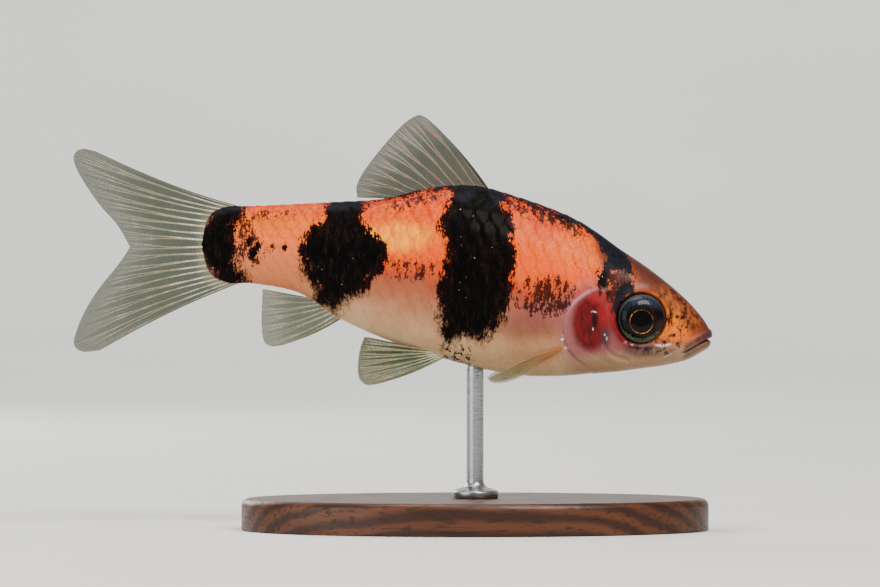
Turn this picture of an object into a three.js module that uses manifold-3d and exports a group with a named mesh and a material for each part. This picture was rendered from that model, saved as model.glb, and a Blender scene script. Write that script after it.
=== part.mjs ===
// A melon barb, a small tropical stream fish, at life size on a plain display stand.
// Millimetres, +Z up. The nose points along +X, a little down, and the tail points along -X.
// The origin is on the floor, under the middle of the whole length.
//
// Places in the side view are pairs [behind, above]: how far behind the tip of the nose,
// and how far above the lowest line of the belly.
import * as THREE from "three";
import { mergeVertices } from "three/addons/utils/BufferGeometryUtils.js";
import Module from "manifold-3d";

const wasm = await Module();
wasm.setup();

// Driving sizes of the fish
const TOTAL_LENGTH = 60;
const NOSE_X = TOTAL_LENGTH / 2;
const BELLY_HEIGHT = 14.5;
const GAP = 0.3;

// Driving sizes of the stand
const BASE_LENGTH = 44;
const BASE_WIDTH = 27;
const BASE_THICKNESS = 3;
const BASE_CHAMFER = 0.7;
const ROD_RADIUS = 0.8;
const ROD_BEHIND = 22.2;
const COLLAR_RADIUS = 2.2;
const COLLAR_HEIGHT = 0.9;

// Fin sizes: a clear membrane with rays that stand out of both faces
const MEMBRANE = 0.5;
const RAY_HEIGHT = 0.14;
const TIP_THICKNESS = 0.26;
const ROOT_SUNK = 0.9;
const RAY_WIDTH_SHARE = 0.3;

// Head sizes
const EYE_RADIUS = 2.3;
const EYE_PLACE = [6.68, 5.45];
const EYE_DEPTH = 1.95;
const EYE_TURN_FORWARD = THREE.MathUtils.degToRad(7);
const MOUTH_LENGTH = 2.6;
const MOUTH_HEIGHT = 3.5;
const MOUTH_DROP = 1.3;
const MOUTH_GROOVE = 0.17;
const LIP_RADIUS = 0.34;
const NOSTRIL_PLACE = [2.75, 5.5];
const NOSTRIL_RADIUS = 0.3;
const BARBEL_ROOT = [3.3, 2.35];
const BARBEL_LENGTH = 1.7;
const BARBEL_RADIUS = 0.26;
const GILL_BULGE = 0.2;

const SKIN = new THREE.MeshStandardMaterial({ color: 0xe08a58, roughness: 0.35, metalness: 0 });
const FIN = new THREE.MeshStandardMaterial({ color: 0x9da283, roughness: 0.4, metalness: 0 });
const EYE = new THREE.MeshStandardMaterial({ color: 0x14161a, roughness: 0.1, metalness: 0 });
const WOOD = new THREE.MeshStandardMaterial({ color: 0x4a3020, roughness: 0.5, metalness: 0 });
const STEEL = new THREE.MeshStandardMaterial({ color: 0xb9bbbd, roughness: 0.3, metalness: 1 });

// Sections of the body from nose to tail. Each has its point on the back and on the belly, its half width,
// the share of its height where it is widest (girth), and how its back and belly round off:
// under 1 is square-shouldered, 1 is an ellipse, over 1 is a ridge.
const SECTIONS = [
  { back: [0.0, 3.6], belly: [0.0, 3.6], half: 0.0, girth: 0.5, crown: 0.8, keel: 0.8 }, // nose tip
  { back: [0.2, 4.5], belly: [0.3, 2.7], half: 0.95, girth: 0.5, crown: 0.8, keel: 0.8 }, // lips
  { back: [0.8, 5.5], belly: [1.0, 2.1], half: 1.45, girth: 0.5, crown: 0.78, keel: 0.85 },
  { back: [2.1, 7.0], belly: [2.3, 1.5], half: 1.95, girth: 0.5, crown: 0.74, keel: 0.9 }, // nostrils
  { back: [4.0, 8.7], belly: [4.4, 1.0], half: 2.4, girth: 0.5, crown: 0.72, keel: 0.95 },
  { back: [6.2, 10.4], belly: [6.6, 0.7], half: 2.75, girth: 0.5, crown: 0.75, keel: 0.95 }, // eyes
  { back: [8.6, 12.0], belly: [8.9, 0.4], half: 3.1, girth: 0.48, crown: 0.85, keel: 0.9 },
  { back: [11.1, 13.8], belly: [11.6, 0.2], half: 3.4, girth: 0.46, crown: 0.95, keel: 0.85 }, // gill covers
  { back: [13.9, 15.3], belly: [14.4, 0.0], half: 3.6, girth: 0.47, crown: 1.0, keel: 0.85 },
  { back: [18.0, 16.8], belly: [18.3, 0.1], half: 3.7, girth: 0.48, crown: 1.05, keel: 0.85 }, // shoulders
  { back: [22.2, 17.9], belly: [22.4, 0.9], half: 3.65, girth: 0.49, crown: 1.05, keel: 0.85 },
  { back: [26.4, 17.7], belly: [26.6, 2.1], half: 3.35, girth: 0.5, crown: 1.0, keel: 0.9 }, // pelvic fins
  { back: [30.7, 16.7], belly: [30.7, 3.5], half: 2.8, girth: 0.51, crown: 0.95, keel: 0.95 },
  { back: [34.9, 16.4], belly: [34.9, 5.4], half: 2.2, girth: 0.52, crown: 0.9, keel: 0.95 }, // anal fin
  { back: [38.9, 16.2], belly: [38.7, 7.8], half: 1.7, girth: 0.52, crown: 0.9, keel: 0.9 },
  { back: [42.9, 16.0], belly: [42.9, 8.7], half: 1.25, girth: 0.5, crown: 0.9, keel: 0.9 }, // tail stalk
  { back: [45.7, 15.9], belly: [45.5, 8.8], half: 0.92, girth: 0.5, crown: 0.85, keel: 0.85 },
  { back: [47.3, 14.9], belly: [47.2, 9.8], half: 0.7, girth: 0.5, crown: 0.8, keel: 0.8 },
  { back: [48.0, 12.3], belly: [48.0, 12.3], half: 0.0, girth: 0.5, crown: 0.8, keel: 0.8 }, // end of the flesh
];
const HEAD_SECTIONS = 8;
const HEAD_RINGS = 24;
const BODY_RINGS = 46;
const BODY_SIDES = 34;

const smooth = (points) => new THREE.CatmullRomCurve3(points, false, "catmullrom", 0.5);
const BACK = smooth(SECTIONS.map((s) => new THREE.Vector3(s.back[0], 0, s.back[1])));
const BELLY = smooth(SECTIONS.map((s) => new THREE.Vector3(s.belly[0], 0, s.belly[1])));
const GIRTH = smooth(SECTIONS.map((s) => new THREE.Vector3(s.half, s.girth, 0)));
const ROUNDING = smooth(SECTIONS.map((s) => new THREE.Vector3(s.crown, s.keel, 0)));

// A place [behind, above] of the side view, at a distance y from the middle plane.
function place([behind, above], y = 0) {
  return new THREE.Vector3(NOSE_X - behind, y, BELLY_HEIGHT + above);
}

// How far the gill cover stands out of the head, for a place of the side view.
const GILL_CENTRE = [11.6, 4.6];
const GILL_REACH = [2.6, 3.9];
function gillBulge([behind, above]) {
  const along = (behind - GILL_CENTRE[0]) / GILL_REACH[0];
  const up = (above - GILL_CENTRE[1]) / GILL_REACH[1];
  return GILL_BULGE * THREE.MathUtils.smoothstep(1.25 - Math.hypot(along, up), 0, 0.45);
}

// The body's surface: t runs from nose to tail, and angle from the back (0) round by the left flank to the belly (PI).
function bodyPoint(t, angle) {
  const girth = GIRTH.getPoint(t);
  const rounding = ROUNDING.getPoint(t);
  const lift = Math.cos(angle);
  const turn = Math.sin(angle);
  const level = lift > 0 ? girth.y + (1 - girth.y) * lift : girth.y * (1 + lift);
  const sharpness = lift > 0 ? rounding.x : rounding.y;
  const side = BELLY.getPoint(t).lerp(BACK.getPoint(t), level);
  const bulge = gillBulge([side.x, side.z]) * Math.abs(turn);
  const y = Math.sign(turn) * (girth.x * Math.abs(turn) ** sharpness + bulge);
  return place([side.x, side.z], Math.abs(turn) < 1e-9 ? 0 : y);
}

// A point of the flank in the side view: its half width there, on the skin.
function flankWidth([behind, above]) {
  let front = 0;
  let rear = 1;
  for (let i = 0; i < 40; i++) {
    const t = (front + rear) / 2;
    const back = BACK.getPoint(t);
    const belly = BELLY.getPoint(t);
    const ahead = (behind - belly.x) * (back.z - belly.z) - (above - belly.z) * (back.x - belly.x);
    if (ahead > 0) front = t;
    else rear = t;
  }
  const back = BACK.getPoint(front);
  const belly = BELLY.getPoint(front);
  const girth = GIRTH.getPoint(front);
  const level = THREE.MathUtils.clamp((above - belly.z) / (back.z - belly.z), 0, 1);
  const lift = level > girth.y ? (level - girth.y) / (1 - girth.y) : level / girth.y - 1;
  return Math.abs(bodyPoint(front, Math.acos(lift)).y);
}

// A closed solid from a three.js geometry.
function solid(geometry) {
  const bare = geometry.index ? geometry.toNonIndexed() : geometry.clone();
  const welded = mergeVertices(
    new THREE.BufferGeometry().setAttribute("position", bare.getAttribute("position")),
    1e-4,
  );
  const made = new wasm.Manifold(
    new wasm.Mesh({
      numProp: 3,
      vertProperties: welded.attributes.position.array,
      triVerts: new Uint32Array(welded.index.array),
    }),
  );
  if (made.volume() > 0) return made;
  const triVerts = new Uint32Array(welded.index.array);
  for (let i = 0; i < triVerts.length; i += 3) {
    [triVerts[i + 1], triVerts[i + 2]] = [triVerts[i + 2], triVerts[i + 1]];
  }
  return new wasm.Manifold(
    new wasm.Mesh({ numProp: 3, vertProperties: welded.attributes.position.array, triVerts }),
  );
}

function largest(made) {
  return made.decompose().reduce((most, piece) => (piece.volume() > most.volume() ? piece : most));
}

// A named mesh from a closed solid.
function mesh(name, made, material) {
  const shape = largest(made).getMesh();
  const geometry = new THREE.BufferGeometry();
  geometry.setAttribute("position", new THREE.BufferAttribute(new Float32Array(shape.vertProperties), 3));
  geometry.setIndex(new THREE.BufferAttribute(new Uint32Array(shape.triVerts), 1));
  geometry.computeVertexNormals();
  const node = new THREE.Mesh(geometry, material);
  node.name = name;
  return node;
}

// The whole body as rings of points between a pole at the nose and one at the tail, grown by a distance.
function bodySolid(grown = 0) {
  const last = SECTIONS.length - 1;
  const places = [];
  for (let i = 1; i <= HEAD_RINGS; i++) places.push(((i / HEAD_RINGS) ** 1.25 * HEAD_SECTIONS) / last);
  const rest = BODY_RINGS - HEAD_RINGS;
  for (let i = 1; i < rest; i++) {
    const share = Math.sin(((i / rest) * Math.PI) / 2) * 0.3 + (i / rest) * 0.7;
    places.push((HEAD_SECTIONS + (last - HEAD_SECTIONS) * share) / last);
  }
  const points = [bodyPoint(0, 0)];
  for (const t of places) {
    for (let j = 0; j < BODY_SIDES; j++) points.push(bodyPoint(t, (j / BODY_SIDES) * 2 * Math.PI));
  }
  points.push(bodyPoint(1, 0));
  const corner = (ring, side) => 1 + ring * BODY_SIDES + (side % BODY_SIDES);
  const faces = [];
  for (let j = 0; j < BODY_SIDES; j++) {
    faces.push(0, corner(0, j), corner(0, j + 1));
    faces.push(points.length - 1, corner(places.length - 1, j + 1), corner(places.length - 1, j));
    for (let i = 0; i + 1 < places.length; i++) {
      faces.push(corner(i, j), corner(i + 1, j), corner(i + 1, j + 1));
      faces.push(corner(i, j), corner(i + 1, j + 1), corner(i, j + 1));
    }
  }
  const geometry = new THREE.BufferGeometry().setFromPoints(points);
  geometry.setIndex(faces);
  geometry.computeVertexNormals();
  const { position, normal } = geometry.attributes;
  const outward = normal.getX(0) > 0 ? 1 : -1;
  for (let i = 0; i < position.count; i++) {
    position.setXYZ(
      i,
      position.getX(i) + normal.getX(i) * grown * outward,
      position.getY(i) + normal.getY(i) * grown * outward,
      position.getZ(i) + normal.getZ(i) * grown * outward,
    );
  }
  return solid(geometry);
}

// A thin wall that stands on a line of the side view and runs right across the body.
function cuttingWall(line, thickness = GAP, halfWidth = 8) {
  const middle = new THREE.SplineCurve(line.map(([behind, above]) => new THREE.Vector2(behind, above)));
  const steps = 24;
  const edges = [1, -1].map((side) =>
    Array.from({ length: steps + 1 }, (_, i) => {
      const along = middle.getTangent(i / steps);
      const at = middle.getPoint(i / steps);
      return new THREE.Vector2(
        NOSE_X - at.x - (side * along.y * thickness) / 2,
        BELLY_HEIGHT + at.y - (side * along.x * thickness) / 2,
      );
    }),
  );
  const outline = new THREE.Shape([...edges[0], ...edges[1].reverse()]);
  const wall = new THREE.ExtrudeGeometry(outline, { depth: 2 * halfWidth, bevelEnabled: false });
  return solid(wall.rotateX(Math.PI / 2).translate(0, halfWidth, 0));
}

// A round bar that follows a path.
function bar(path, radius, steps, sides = 8) {
  const section = new THREE.Shape().absarc(0, 0, radius, 0, 2 * Math.PI);
  return solid(
    new THREE.ExtrudeGeometry(section, { steps, extrudePath: path, curveSegments: sides / 2, bevelEnabled: false }),
  );
}

// A fin as one closed sheet. Its columns follow the rays, and each ray is a ridge in both faces.
// rootAt(u) and tipAt(u) give a ray's ends, u running from the leading edge to the trailing one,
// and bow(u, v) gives how far a point of the ray is off its straight line.
function finSolid({ rays, rows, rootAt, tipAt, bow }) {
  const columns = [{ u: 0, ray: false }];
  for (let k = 0; k < rays; k++) {
    for (const side of [-1, 0, 1]) {
      columns.push({ u: (k + 0.5 + side * RAY_WIDTH_SHARE) / rays, ray: side === 0 });
    }
  }
  columns.push({ u: 1, ray: false });
  const at = (u, v) => {
    const root = rootAt(u);
    const tip = tipAt(u);
    root.addScaledVector(tip.clone().sub(root).normalize(), -ROOT_SUNK);
    return root.lerp(tip, v).add(bow(u, v));
  };
  const step = 1e-3;
  const faces = { right: [], left: [] };
  for (const { u, ray } of columns) {
    for (let j = 0; j < rows; j++) {
      const v = j / (rows - 1);
      const across = at(Math.min(u + step, 1), v).sub(at(Math.max(u - step, 0), v));
      const along = at(u, Math.min(v + step, 1)).sub(at(u, Math.max(v - step, 0)));
      const normal = across.cross(along).normalize();
      const ridge = ray ? 2 * RAY_HEIGHT * (1 - v) : 0;
      const taper = THREE.MathUtils.smoothstep(v, 0.55, 1);
      const half = (THREE.MathUtils.lerp(MEMBRANE, TIP_THICKNESS, taper) + ridge) / 2;
      faces.right.push(at(u, v).addScaledVector(normal, half));
      faces.left.push(at(u, v).addScaledVector(normal, -half));
    }
  }
  const count = faces.right.length;
  const right = (i, j) => i * rows + j;
  const left = (i, j) => count + i * rows + j;
  const index = [];
  const quad = (a, b, c, d) => index.push(a, b, c, a, c, d);
  for (let i = 0; i + 1 < columns.length; i++) {
    for (let j = 0; j + 1 < rows; j++) {
      quad(right(i, j), right(i + 1, j), right(i + 1, j + 1), right(i, j + 1));
      index.push(left(i, j), left(i + 1, j + 1), left(i + 1, j));
      index.push(left(i, j), left(i, j + 1), left(i + 1, j + 1));
    }
    quad(right(i + 1, 0), right(i, 0), left(i, 0), left(i + 1, 0));
    quad(right(i, rows - 1), right(i + 1, rows - 1), left(i + 1, rows - 1), left(i, rows - 1));
  }
  const end = columns.length - 1;
  for (let j = 0; j + 1 < rows; j++) {
    quad(right(0, j), right(0, j + 1), left(0, j + 1), left(0, j));
    quad(right(end, j + 1), right(end, j), left(end, j), left(end, j + 1));
  }
  const geometry = new THREE.BufferGeometry().setFromPoints([...faces.right, ...faces.left]);
  geometry.setIndex(index);
  return solid(geometry);
}

// A fin of the middle plane from two lines of the side view: its root and the tips of its rays.
function middleFin({ root, tips, rays, rows, bulge }) {
  const rootLine = new THREE.SplineCurve(root.map(([behind, above]) => new THREE.Vector2(behind, above)));
  const tipLine = new THREE.SplineCurve(tips.map(([behind, above]) => new THREE.Vector2(behind, above)));
  return finSolid({
    rays,
    rows,
    rootAt: (u) => place(rootLine.getPointAt(u).toArray()),
    tipAt: (u) => place(tipLine.getPointAt(u).toArray()),
    bow: (u, v) => new THREE.Vector3(0, 0, bulge(u) * Math.sin(Math.PI * v)),
  });
}

// A fin of a pair, on the left side: each point has its distance from the middle plane as a third number.
function pairedFin({ root, tips, rays, rows, bulge, side }) {
  const lineOf = (points) => smooth(points.map(([behind, above, out]) => place([behind, above], out * side)));
  const rootLine = lineOf(root);
  const tipLine = lineOf(tips);
  return finSolid({
    rays,
    rows,
    rootAt: (u) => rootLine.getPointAt(u),
    tipAt: (u) => tipLine.getPointAt(u),
    bow: (u, v) => new THREE.Vector3(0, 0, bulge(u) * Math.sin(Math.PI * v)),
  });
}

// Body

const body = bodySolid();
const bodyGrown = bodySolid(GAP);

// Edge of the gill cover, from the nape to the throat
const GILL_LINE = [
  [8.6, 13.6],
  [9.5, 11.0],
  [10.5, 8.8],
  [12.1, 7.8],
  [13.4, 6.6],
  [14.0, 4.9],
  [13.8, 3.1],
  [12.9, 1.8],
  [11.5, 0.6],
  [10.6, -1.2],
];
const TAIL_STALK_LINE = [
  [34.0, 18.5],
  [33.9, 10],
  [33.8, 2.5],
];

const cuts = cuttingWall(GILL_LINE).add(cuttingWall(TAIL_STALK_LINE));
const lengths = body
  .subtract(cuts)
  .decompose()
  .sort((a, b) => b.volume() - a.volume())
  .slice(0, 3)
  .sort((a, b) => b.boundingBox().max[0] - a.boundingBox().max[0]);
const [headBlock, trunk, tailStalk] = lengths;

// Eyes

// Half section of an eye: radius, and depth along its own axis.
const EYE_PROFILE = [
  [0, -1.1],
  [1.3, -0.95],
  [2.0, -0.45],
  [EYE_RADIUS, 0.15],
  [EYE_RADIUS, 0.6],
  [2.16, 0.95],
  [1.85, 1.18],
  [1.4, 1.34],
  [0.8, 1.44],
  [0, 1.48],
];
function eyeSolid(side, grown = 0) {
  const profile = EYE_PROFILE.map(([radius, depth], i) => {
    const outer = i === 0 || i === EYE_PROFILE.length - 1 ? 0 : radius + grown;
    return new THREE.Vector2(outer, depth + (depth < 0 ? -grown : grown));
  });
  const ball = new THREE.LatheGeometry(profile, 26);
  ball.rotateZ(-EYE_TURN_FORWARD);
  if (side < 0) ball.rotateX(Math.PI);
  const centre = place(EYE_PLACE, side * EYE_DEPTH);
  return solid(ball.translate(centre.x, centre.y, centre.z));
}

// Mouth

// The line of the mouth from corner to corner, round the front of the snout, shifted up or down for a lip.
// out lifts it off the skin, and endOut does so at its two ends, where a lip sinks into the cheek.
function mouthPath(shift, out, endOut) {
  const points = [];
  const half = 8;
  for (let i = -half; i <= half; i++) {
    const share = Math.abs(i) / half;
    const above = MOUTH_HEIGHT + shift * (1 - 0.45 * share) - MOUTH_DROP * share ** 1.5;
    const rail = above > SECTIONS[0].back[1] ? BACK : BELLY;
    let front = 0;
    let rear = 3 / (SECTIONS.length - 1);
    for (let n = 0; n < 30; n++) {
      const t = (front + rear) / 2;
      if (Math.abs(rail.getPoint(t).z - SECTIONS[0].back[1]) < Math.abs(above - SECTIONS[0].back[1])) front = t;
      else rear = t;
    }
    const behind = rail.getPoint(front).x + MOUTH_LENGTH * share ** 1.8;
    const width = i === 0 ? 0 : flankWidth([behind, above]);
    const tilt = Math.atan2(width, 1.2 + behind);
    const point = place([behind, above], Math.sign(i) * width);
    const lift = THREE.MathUtils.lerp(out, endOut, share ** 2.5);
    point.x += lift * Math.cos(tilt);
    point.y += Math.sign(i) * lift * Math.sin(tilt);
    points.push(point);
  }
  return new THREE.CatmullRomCurve3(points);
}

const LIP_SUNK = -0.14;
const LIP_END_SUNK = -0.42;
const upperLip = bar(mouthPath(LIP_RADIUS, LIP_SUNK, LIP_END_SUNK), LIP_RADIUS, 18);
const lowerLip = bar(mouthPath(-LIP_RADIUS, LIP_SUNK, LIP_END_SUNK), LIP_RADIUS, 18);
const mouthGroove = bar(mouthPath(0, 0.12, 0.1), MOUTH_GROOVE, 18, 6);

// A barbel, a short soft feeler that trails from the corner of the mouth
function barbelSolid(side) {
  const spike = new THREE.CylinderGeometry(BARBEL_RADIUS * 0.35, BARBEL_RADIUS, BARBEL_LENGTH, 8);
  spike.translate(0, BARBEL_LENGTH / 2, 0);
  const root = place(BARBEL_ROOT, side * (flankWidth(BARBEL_ROOT) - 0.35));
  const aim = new THREE.Vector3(-0.8, side * 0.42, -0.42).normalize();
  spike.applyQuaternion(new THREE.Quaternion().setFromUnitVectors(new THREE.Vector3(0, 1, 0), aim));
  return solid(spike.translate(root.x, root.y, root.z));
}

// A nostril: a pit with a small raised flap behind it
function nostrilPit(side) {
  const pit = new THREE.SphereGeometry(NOSTRIL_RADIUS, 8, 6);
  const at = place(NOSTRIL_PLACE, side * (flankWidth(NOSTRIL_PLACE) + 0.05));
  return solid(pit.translate(at.x, at.y, at.z));
}
function nostrilFlap(side) {
  const flap = new THREE.SphereGeometry(NOSTRIL_RADIUS, 8, 6);
  flap.scale(0.6, 0.7, 1.1);
  const behind = NOSTRIL_PLACE[0] + 0.42;
  const at = place([behind, NOSTRIL_PLACE[1]], side * (flankWidth([behind, NOSTRIL_PLACE[1]]) - 0.02));
  return solid(flap.translate(at.x, at.y, at.z));
}

// Groove along the front edge of the gill cover, on one cheek
const CHEEK_LINE = [
  [9.7, 7.6],
  [10.2, 6.2],
  [10.4, 4.6],
  [10.2, 3.1],
  [9.3, 2.0],
  [7.9, 1.5],
];
function cheekGroove(side) {
  const points = CHEEK_LINE.map((spot) => place(spot, side * (flankWidth(spot) + 0.1)));
  return bar(new THREE.CatmullRomCurve3(points), 0.2, 12, 6);
}

let head = headBlock.add(upperLip).add(lowerLip).subtract(mouthGroove);
for (const side of [1, -1]) {
  head = head
    .subtract(cheekGroove(side))
    .add(nostrilFlap(side))
    .subtract(nostrilPit(side))
    .add(barbelSolid(side))
    .subtract(eyeSolid(side, GAP));
}

// Fins

const dorsalFin = middleFin({
  root: [
    [21.0, 17.6],
    [22.7, 17.8],
    [25.5, 17.6],
    [27.6, 17.3],
    [29.7, 16.7],
  ],
  tips: [
    [26.0, 23.6],
    [26.9, 24.4],
    [27.8, 24.5],
    [29.4, 23.3],
    [32.1, 20.1],
    [33.3, 18.2],
    [33.4, 17.0],
  ],
  rays: 11,
  rows: 7,
  bulge: (u) => 0.35 * (1 - u),
});

const analFin = middleFin({
  root: [
    [34.9, 5.5],
    [35.9, 6.1],
    [36.8, 6.7],
    [37.8, 7.4],
  ],
  tips: [
    [40.4, 2.9],
    [41.4, 2.8],
    [42.1, 3.3],
    [42.3, 4.6],
    [42.3, 6.4],
    [42.2, 8.2],
  ],
  rays: 8,
  rows: 6,
  bulge: (u) => -0.35 * (1 - u),
});

const TAIL_FORK = [54.7, 12.1];
const LOBE_GAP = 0.17;
const tailUpperLobe = middleFin({
  root: [
    [44.2, 15.9],
    [46.0, 15.4],
    [47.3, 14.3],
    [47.9, 13.2],
    [48.0, 12.2 + LOBE_GAP],
  ],
  tips: [
    [58.0, 21.2],
    [59.3, 21.4],
    [60.0, 20.8],
    [59.8, 19.6],
    [58.7, 17.7],
    [57.4, 15.9],
    [55.9, 14.2],
    [TAIL_FORK[0], TAIL_FORK[1] + LOBE_GAP],
  ],
  rays: 10,
  rows: 8,
  bulge: (u) => -0.5 * (1 - u) + 0.1 * u,
});
const tailLowerLobe = middleFin({
  root: [
    [44.2, 8.9],
    [45.9, 9.2],
    [47.2, 10.2],
    [47.9, 11.2],
    [48.0, 12.2 - LOBE_GAP],
  ],
  tips: [
    [57.6, 2.4],
    [59.2, 2.3],
    [60.0, 3.0],
    [59.7, 4.4],
    [58.8, 6.4],
    [57.5, 8.4],
    [55.8, 10.5],
    [TAIL_FORK[0], TAIL_FORK[1] - LOBE_GAP],
  ],
  rays: 9,
  rows: 8,
  bulge: (u) => 0.45 * (1 - u) - 0.1 * u,
});

const pelvicFin = (side) =>
  pairedFin({
    root: [
      [25.0, 1.9, 0.85],
      [25.7, 2.15, 0.95],
      [26.4, 2.45, 1.0],
    ],
    tips: [
      [31.4, -0.7, 2.7],
      [32.4, -0.8, 2.6],
      [33.1, -0.1, 2.4],
      [33.2, 1.2, 2.2],
      [33.0, 2.6, 2.0],
      [32.6, 3.7, 1.9],
    ],
    rays: 8,
    rows: 6,
    bulge: (u) => -0.3 * (1 - u),
    side,
  });

const pectoralFin = (side) =>
  pairedFin({
    root: [
      [13.9, 2.7, 2.85],
      [14.3, 2.4, 2.7],
      [14.7, 2.15, 2.55],
    ],
    tips: [
      [19.6, 0.5, 6.9],
      [20.5, 0.1, 6.7],
      [21.0, -0.25, 6.1],
      [20.5, -0.55, 5.3],
      [19.5, -0.55, 4.6],
      [18.2, -0.15, 3.9],
    ],
    rays: 11,
    rows: 6,
    bulge: (u) => 0.15 * (1 - u),
    side,
  });

// Stand

const BASE_X = NOSE_X - ROD_BEHIND;
const base = new THREE.LatheGeometry(
  [
    new THREE.Vector2(0, 0),
    new THREE.Vector2(BASE_LENGTH / 2, 0),
    new THREE.Vector2(BASE_LENGTH / 2, BASE_THICKNESS - BASE_CHAMFER),
    new THREE.Vector2(BASE_LENGTH / 2 - BASE_CHAMFER, BASE_THICKNESS),
    new THREE.Vector2(0, BASE_THICKNESS),
  ],
  48,
)
  .rotateX(Math.PI / 2)
  .scale(1, BASE_WIDTH / BASE_LENGTH, 1)
  .translate(BASE_X, 0, 0);

const rodFoot = BASE_THICKNESS + GAP;
const rodTop = BELLY_HEIGHT + 3;
const rod = new THREE.LatheGeometry(
  [
    new THREE.Vector2(0, rodFoot),
    new THREE.Vector2(COLLAR_RADIUS, rodFoot),
    new THREE.Vector2(COLLAR_RADIUS, rodFoot + COLLAR_HEIGHT * 0.6),
    new THREE.Vector2(ROD_RADIUS * 1.6, rodFoot + COLLAR_HEIGHT),
    new THREE.Vector2(ROD_RADIUS, rodFoot + COLLAR_HEIGHT * 1.5),
    new THREE.Vector2(ROD_RADIUS, rodTop),
    new THREE.Vector2(0, rodTop),
  ],
  20,
)
  .rotateX(Math.PI / 2)
  .translate(BASE_X, 0, 0);

// Assembly

const fish = new THREE.Group();
fish.add(
  mesh("head", head, SKIN),
  mesh("trunk", trunk, SKIN),
  mesh("tail_stalk", tailStalk, SKIN),
  mesh("dorsal_fin", dorsalFin.subtract(bodyGrown), FIN),
  mesh("anal_fin", analFin.subtract(bodyGrown), FIN),
  mesh("tail_fin_upper", tailUpperLobe.subtract(bodyGrown), FIN),
  mesh("tail_fin_lower", tailLowerLobe.subtract(bodyGrown), FIN),
);
for (const [hand, side] of [
  ["left", 1],
  ["right", -1],
]) {
  fish.add(
    mesh(`eye_${hand}`, eyeSolid(side), EYE),
    mesh(`pectoral_fin_${hand}`, pectoralFin(side).subtract(bodyGrown), FIN),
    mesh(`pelvic_fin_${hand}`, pelvicFin(side).subtract(bodyGrown), FIN),
  );
}

const stand = new THREE.Group();
stand.add(mesh("stand_base", solid(base), WOOD), mesh("stand_rod", solid(rod).subtract(bodyGrown), STEEL));

const model = new THREE.Group();
model.add(fish, stand);

export default model;
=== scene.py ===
"""A melon barb at life size on a plain display stand, dressed for the camera.

Lengths are millimetres until a mesh is made. A place in the side view is (behind, above): how far
behind the tip of the nose, and how far above the lowest line of the belly.
"""

import math

import bpy
import numpy as np
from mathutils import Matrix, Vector


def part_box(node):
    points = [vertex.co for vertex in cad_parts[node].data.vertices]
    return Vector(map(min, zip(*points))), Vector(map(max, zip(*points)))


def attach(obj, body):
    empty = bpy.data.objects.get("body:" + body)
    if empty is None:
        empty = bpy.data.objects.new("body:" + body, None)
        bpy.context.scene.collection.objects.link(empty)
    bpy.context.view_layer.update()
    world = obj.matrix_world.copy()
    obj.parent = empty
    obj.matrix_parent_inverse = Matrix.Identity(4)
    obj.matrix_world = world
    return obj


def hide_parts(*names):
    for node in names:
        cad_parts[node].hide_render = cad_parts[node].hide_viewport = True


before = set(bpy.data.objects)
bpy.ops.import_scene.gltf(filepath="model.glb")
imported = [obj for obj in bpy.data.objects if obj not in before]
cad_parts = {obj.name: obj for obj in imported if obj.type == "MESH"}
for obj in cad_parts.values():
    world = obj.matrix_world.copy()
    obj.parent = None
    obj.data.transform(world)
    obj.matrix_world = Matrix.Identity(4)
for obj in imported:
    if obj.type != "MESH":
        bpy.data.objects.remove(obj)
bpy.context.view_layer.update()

# Scale and place
MM = 0.001
NOSE_X = 30.0
BELLY_HEIGHT = 14.5

# Body: back behind, back above, belly behind, belly above, half width, girth, crown, keel. Girth is the share
# of the height where the section is widest. Crown and keel say how its back and belly round off.
SECTIONS = np.array([
    (0.0, 3.6, 0.0, 3.6, 0.0, 0.5, 0.8, 0.8),
    (0.2, 4.5, 0.3, 2.7, 0.95, 0.5, 0.8, 0.8),
    (0.8, 5.5, 1.0, 2.1, 1.45, 0.5, 0.78, 0.85),
    (2.1, 7.0, 2.3, 1.5, 1.95, 0.5, 0.74, 0.9),
    (4.0, 8.7, 4.4, 1.0, 2.4, 0.5, 0.72, 0.95),
    (6.2, 10.4, 6.6, 0.7, 2.75, 0.5, 0.75, 0.95),
    (8.6, 12.0, 8.9, 0.4, 3.1, 0.48, 0.85, 0.9),
    (11.1, 13.8, 11.6, 0.2, 3.4, 0.46, 0.95, 0.85),
    (13.9, 15.3, 14.4, 0.0, 3.6, 0.47, 1.0, 0.85),
    (18.0, 16.8, 18.3, 0.1, 3.7, 0.48, 1.05, 0.85),
    (22.2, 17.9, 22.4, 0.9, 3.65, 0.49, 1.05, 0.85),
    (26.4, 17.7, 26.6, 2.1, 3.35, 0.5, 1.0, 0.9),
    (30.7, 16.7, 30.7, 3.5, 2.8, 0.51, 0.95, 0.95),
    (34.9, 16.4, 34.9, 5.4, 2.2, 0.52, 0.9, 0.95),
    (38.9, 16.2, 38.7, 7.8, 1.7, 0.52, 0.9, 0.9),
    (42.9, 16.0, 42.9, 8.7, 1.25, 0.5, 0.9, 0.9),
    (45.7, 15.9, 45.5, 8.8, 0.92, 0.5, 0.85, 0.85),
    (47.3, 14.9, 47.2, 9.8, 0.7, 0.5, 0.8, 0.8),
    (48.0, 12.3, 48.0, 12.3, 0.0, 0.5, 0.8, 0.8),
])
SKIN_RINGS = 440
SKIN_SIDES = 216
SIDE_CROWDING = 0.17
HEAD_END = 15.0
HEAD_STEP = 0.62
NOSE_CAP = 0.25

# Soft spots: behind, above, reach along, reach up, softness, strength. The last two may be left out.
GILL_BULGE = (11.6, 4.6, 2.665, 3.9975, 0.2195, 0.2)

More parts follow.
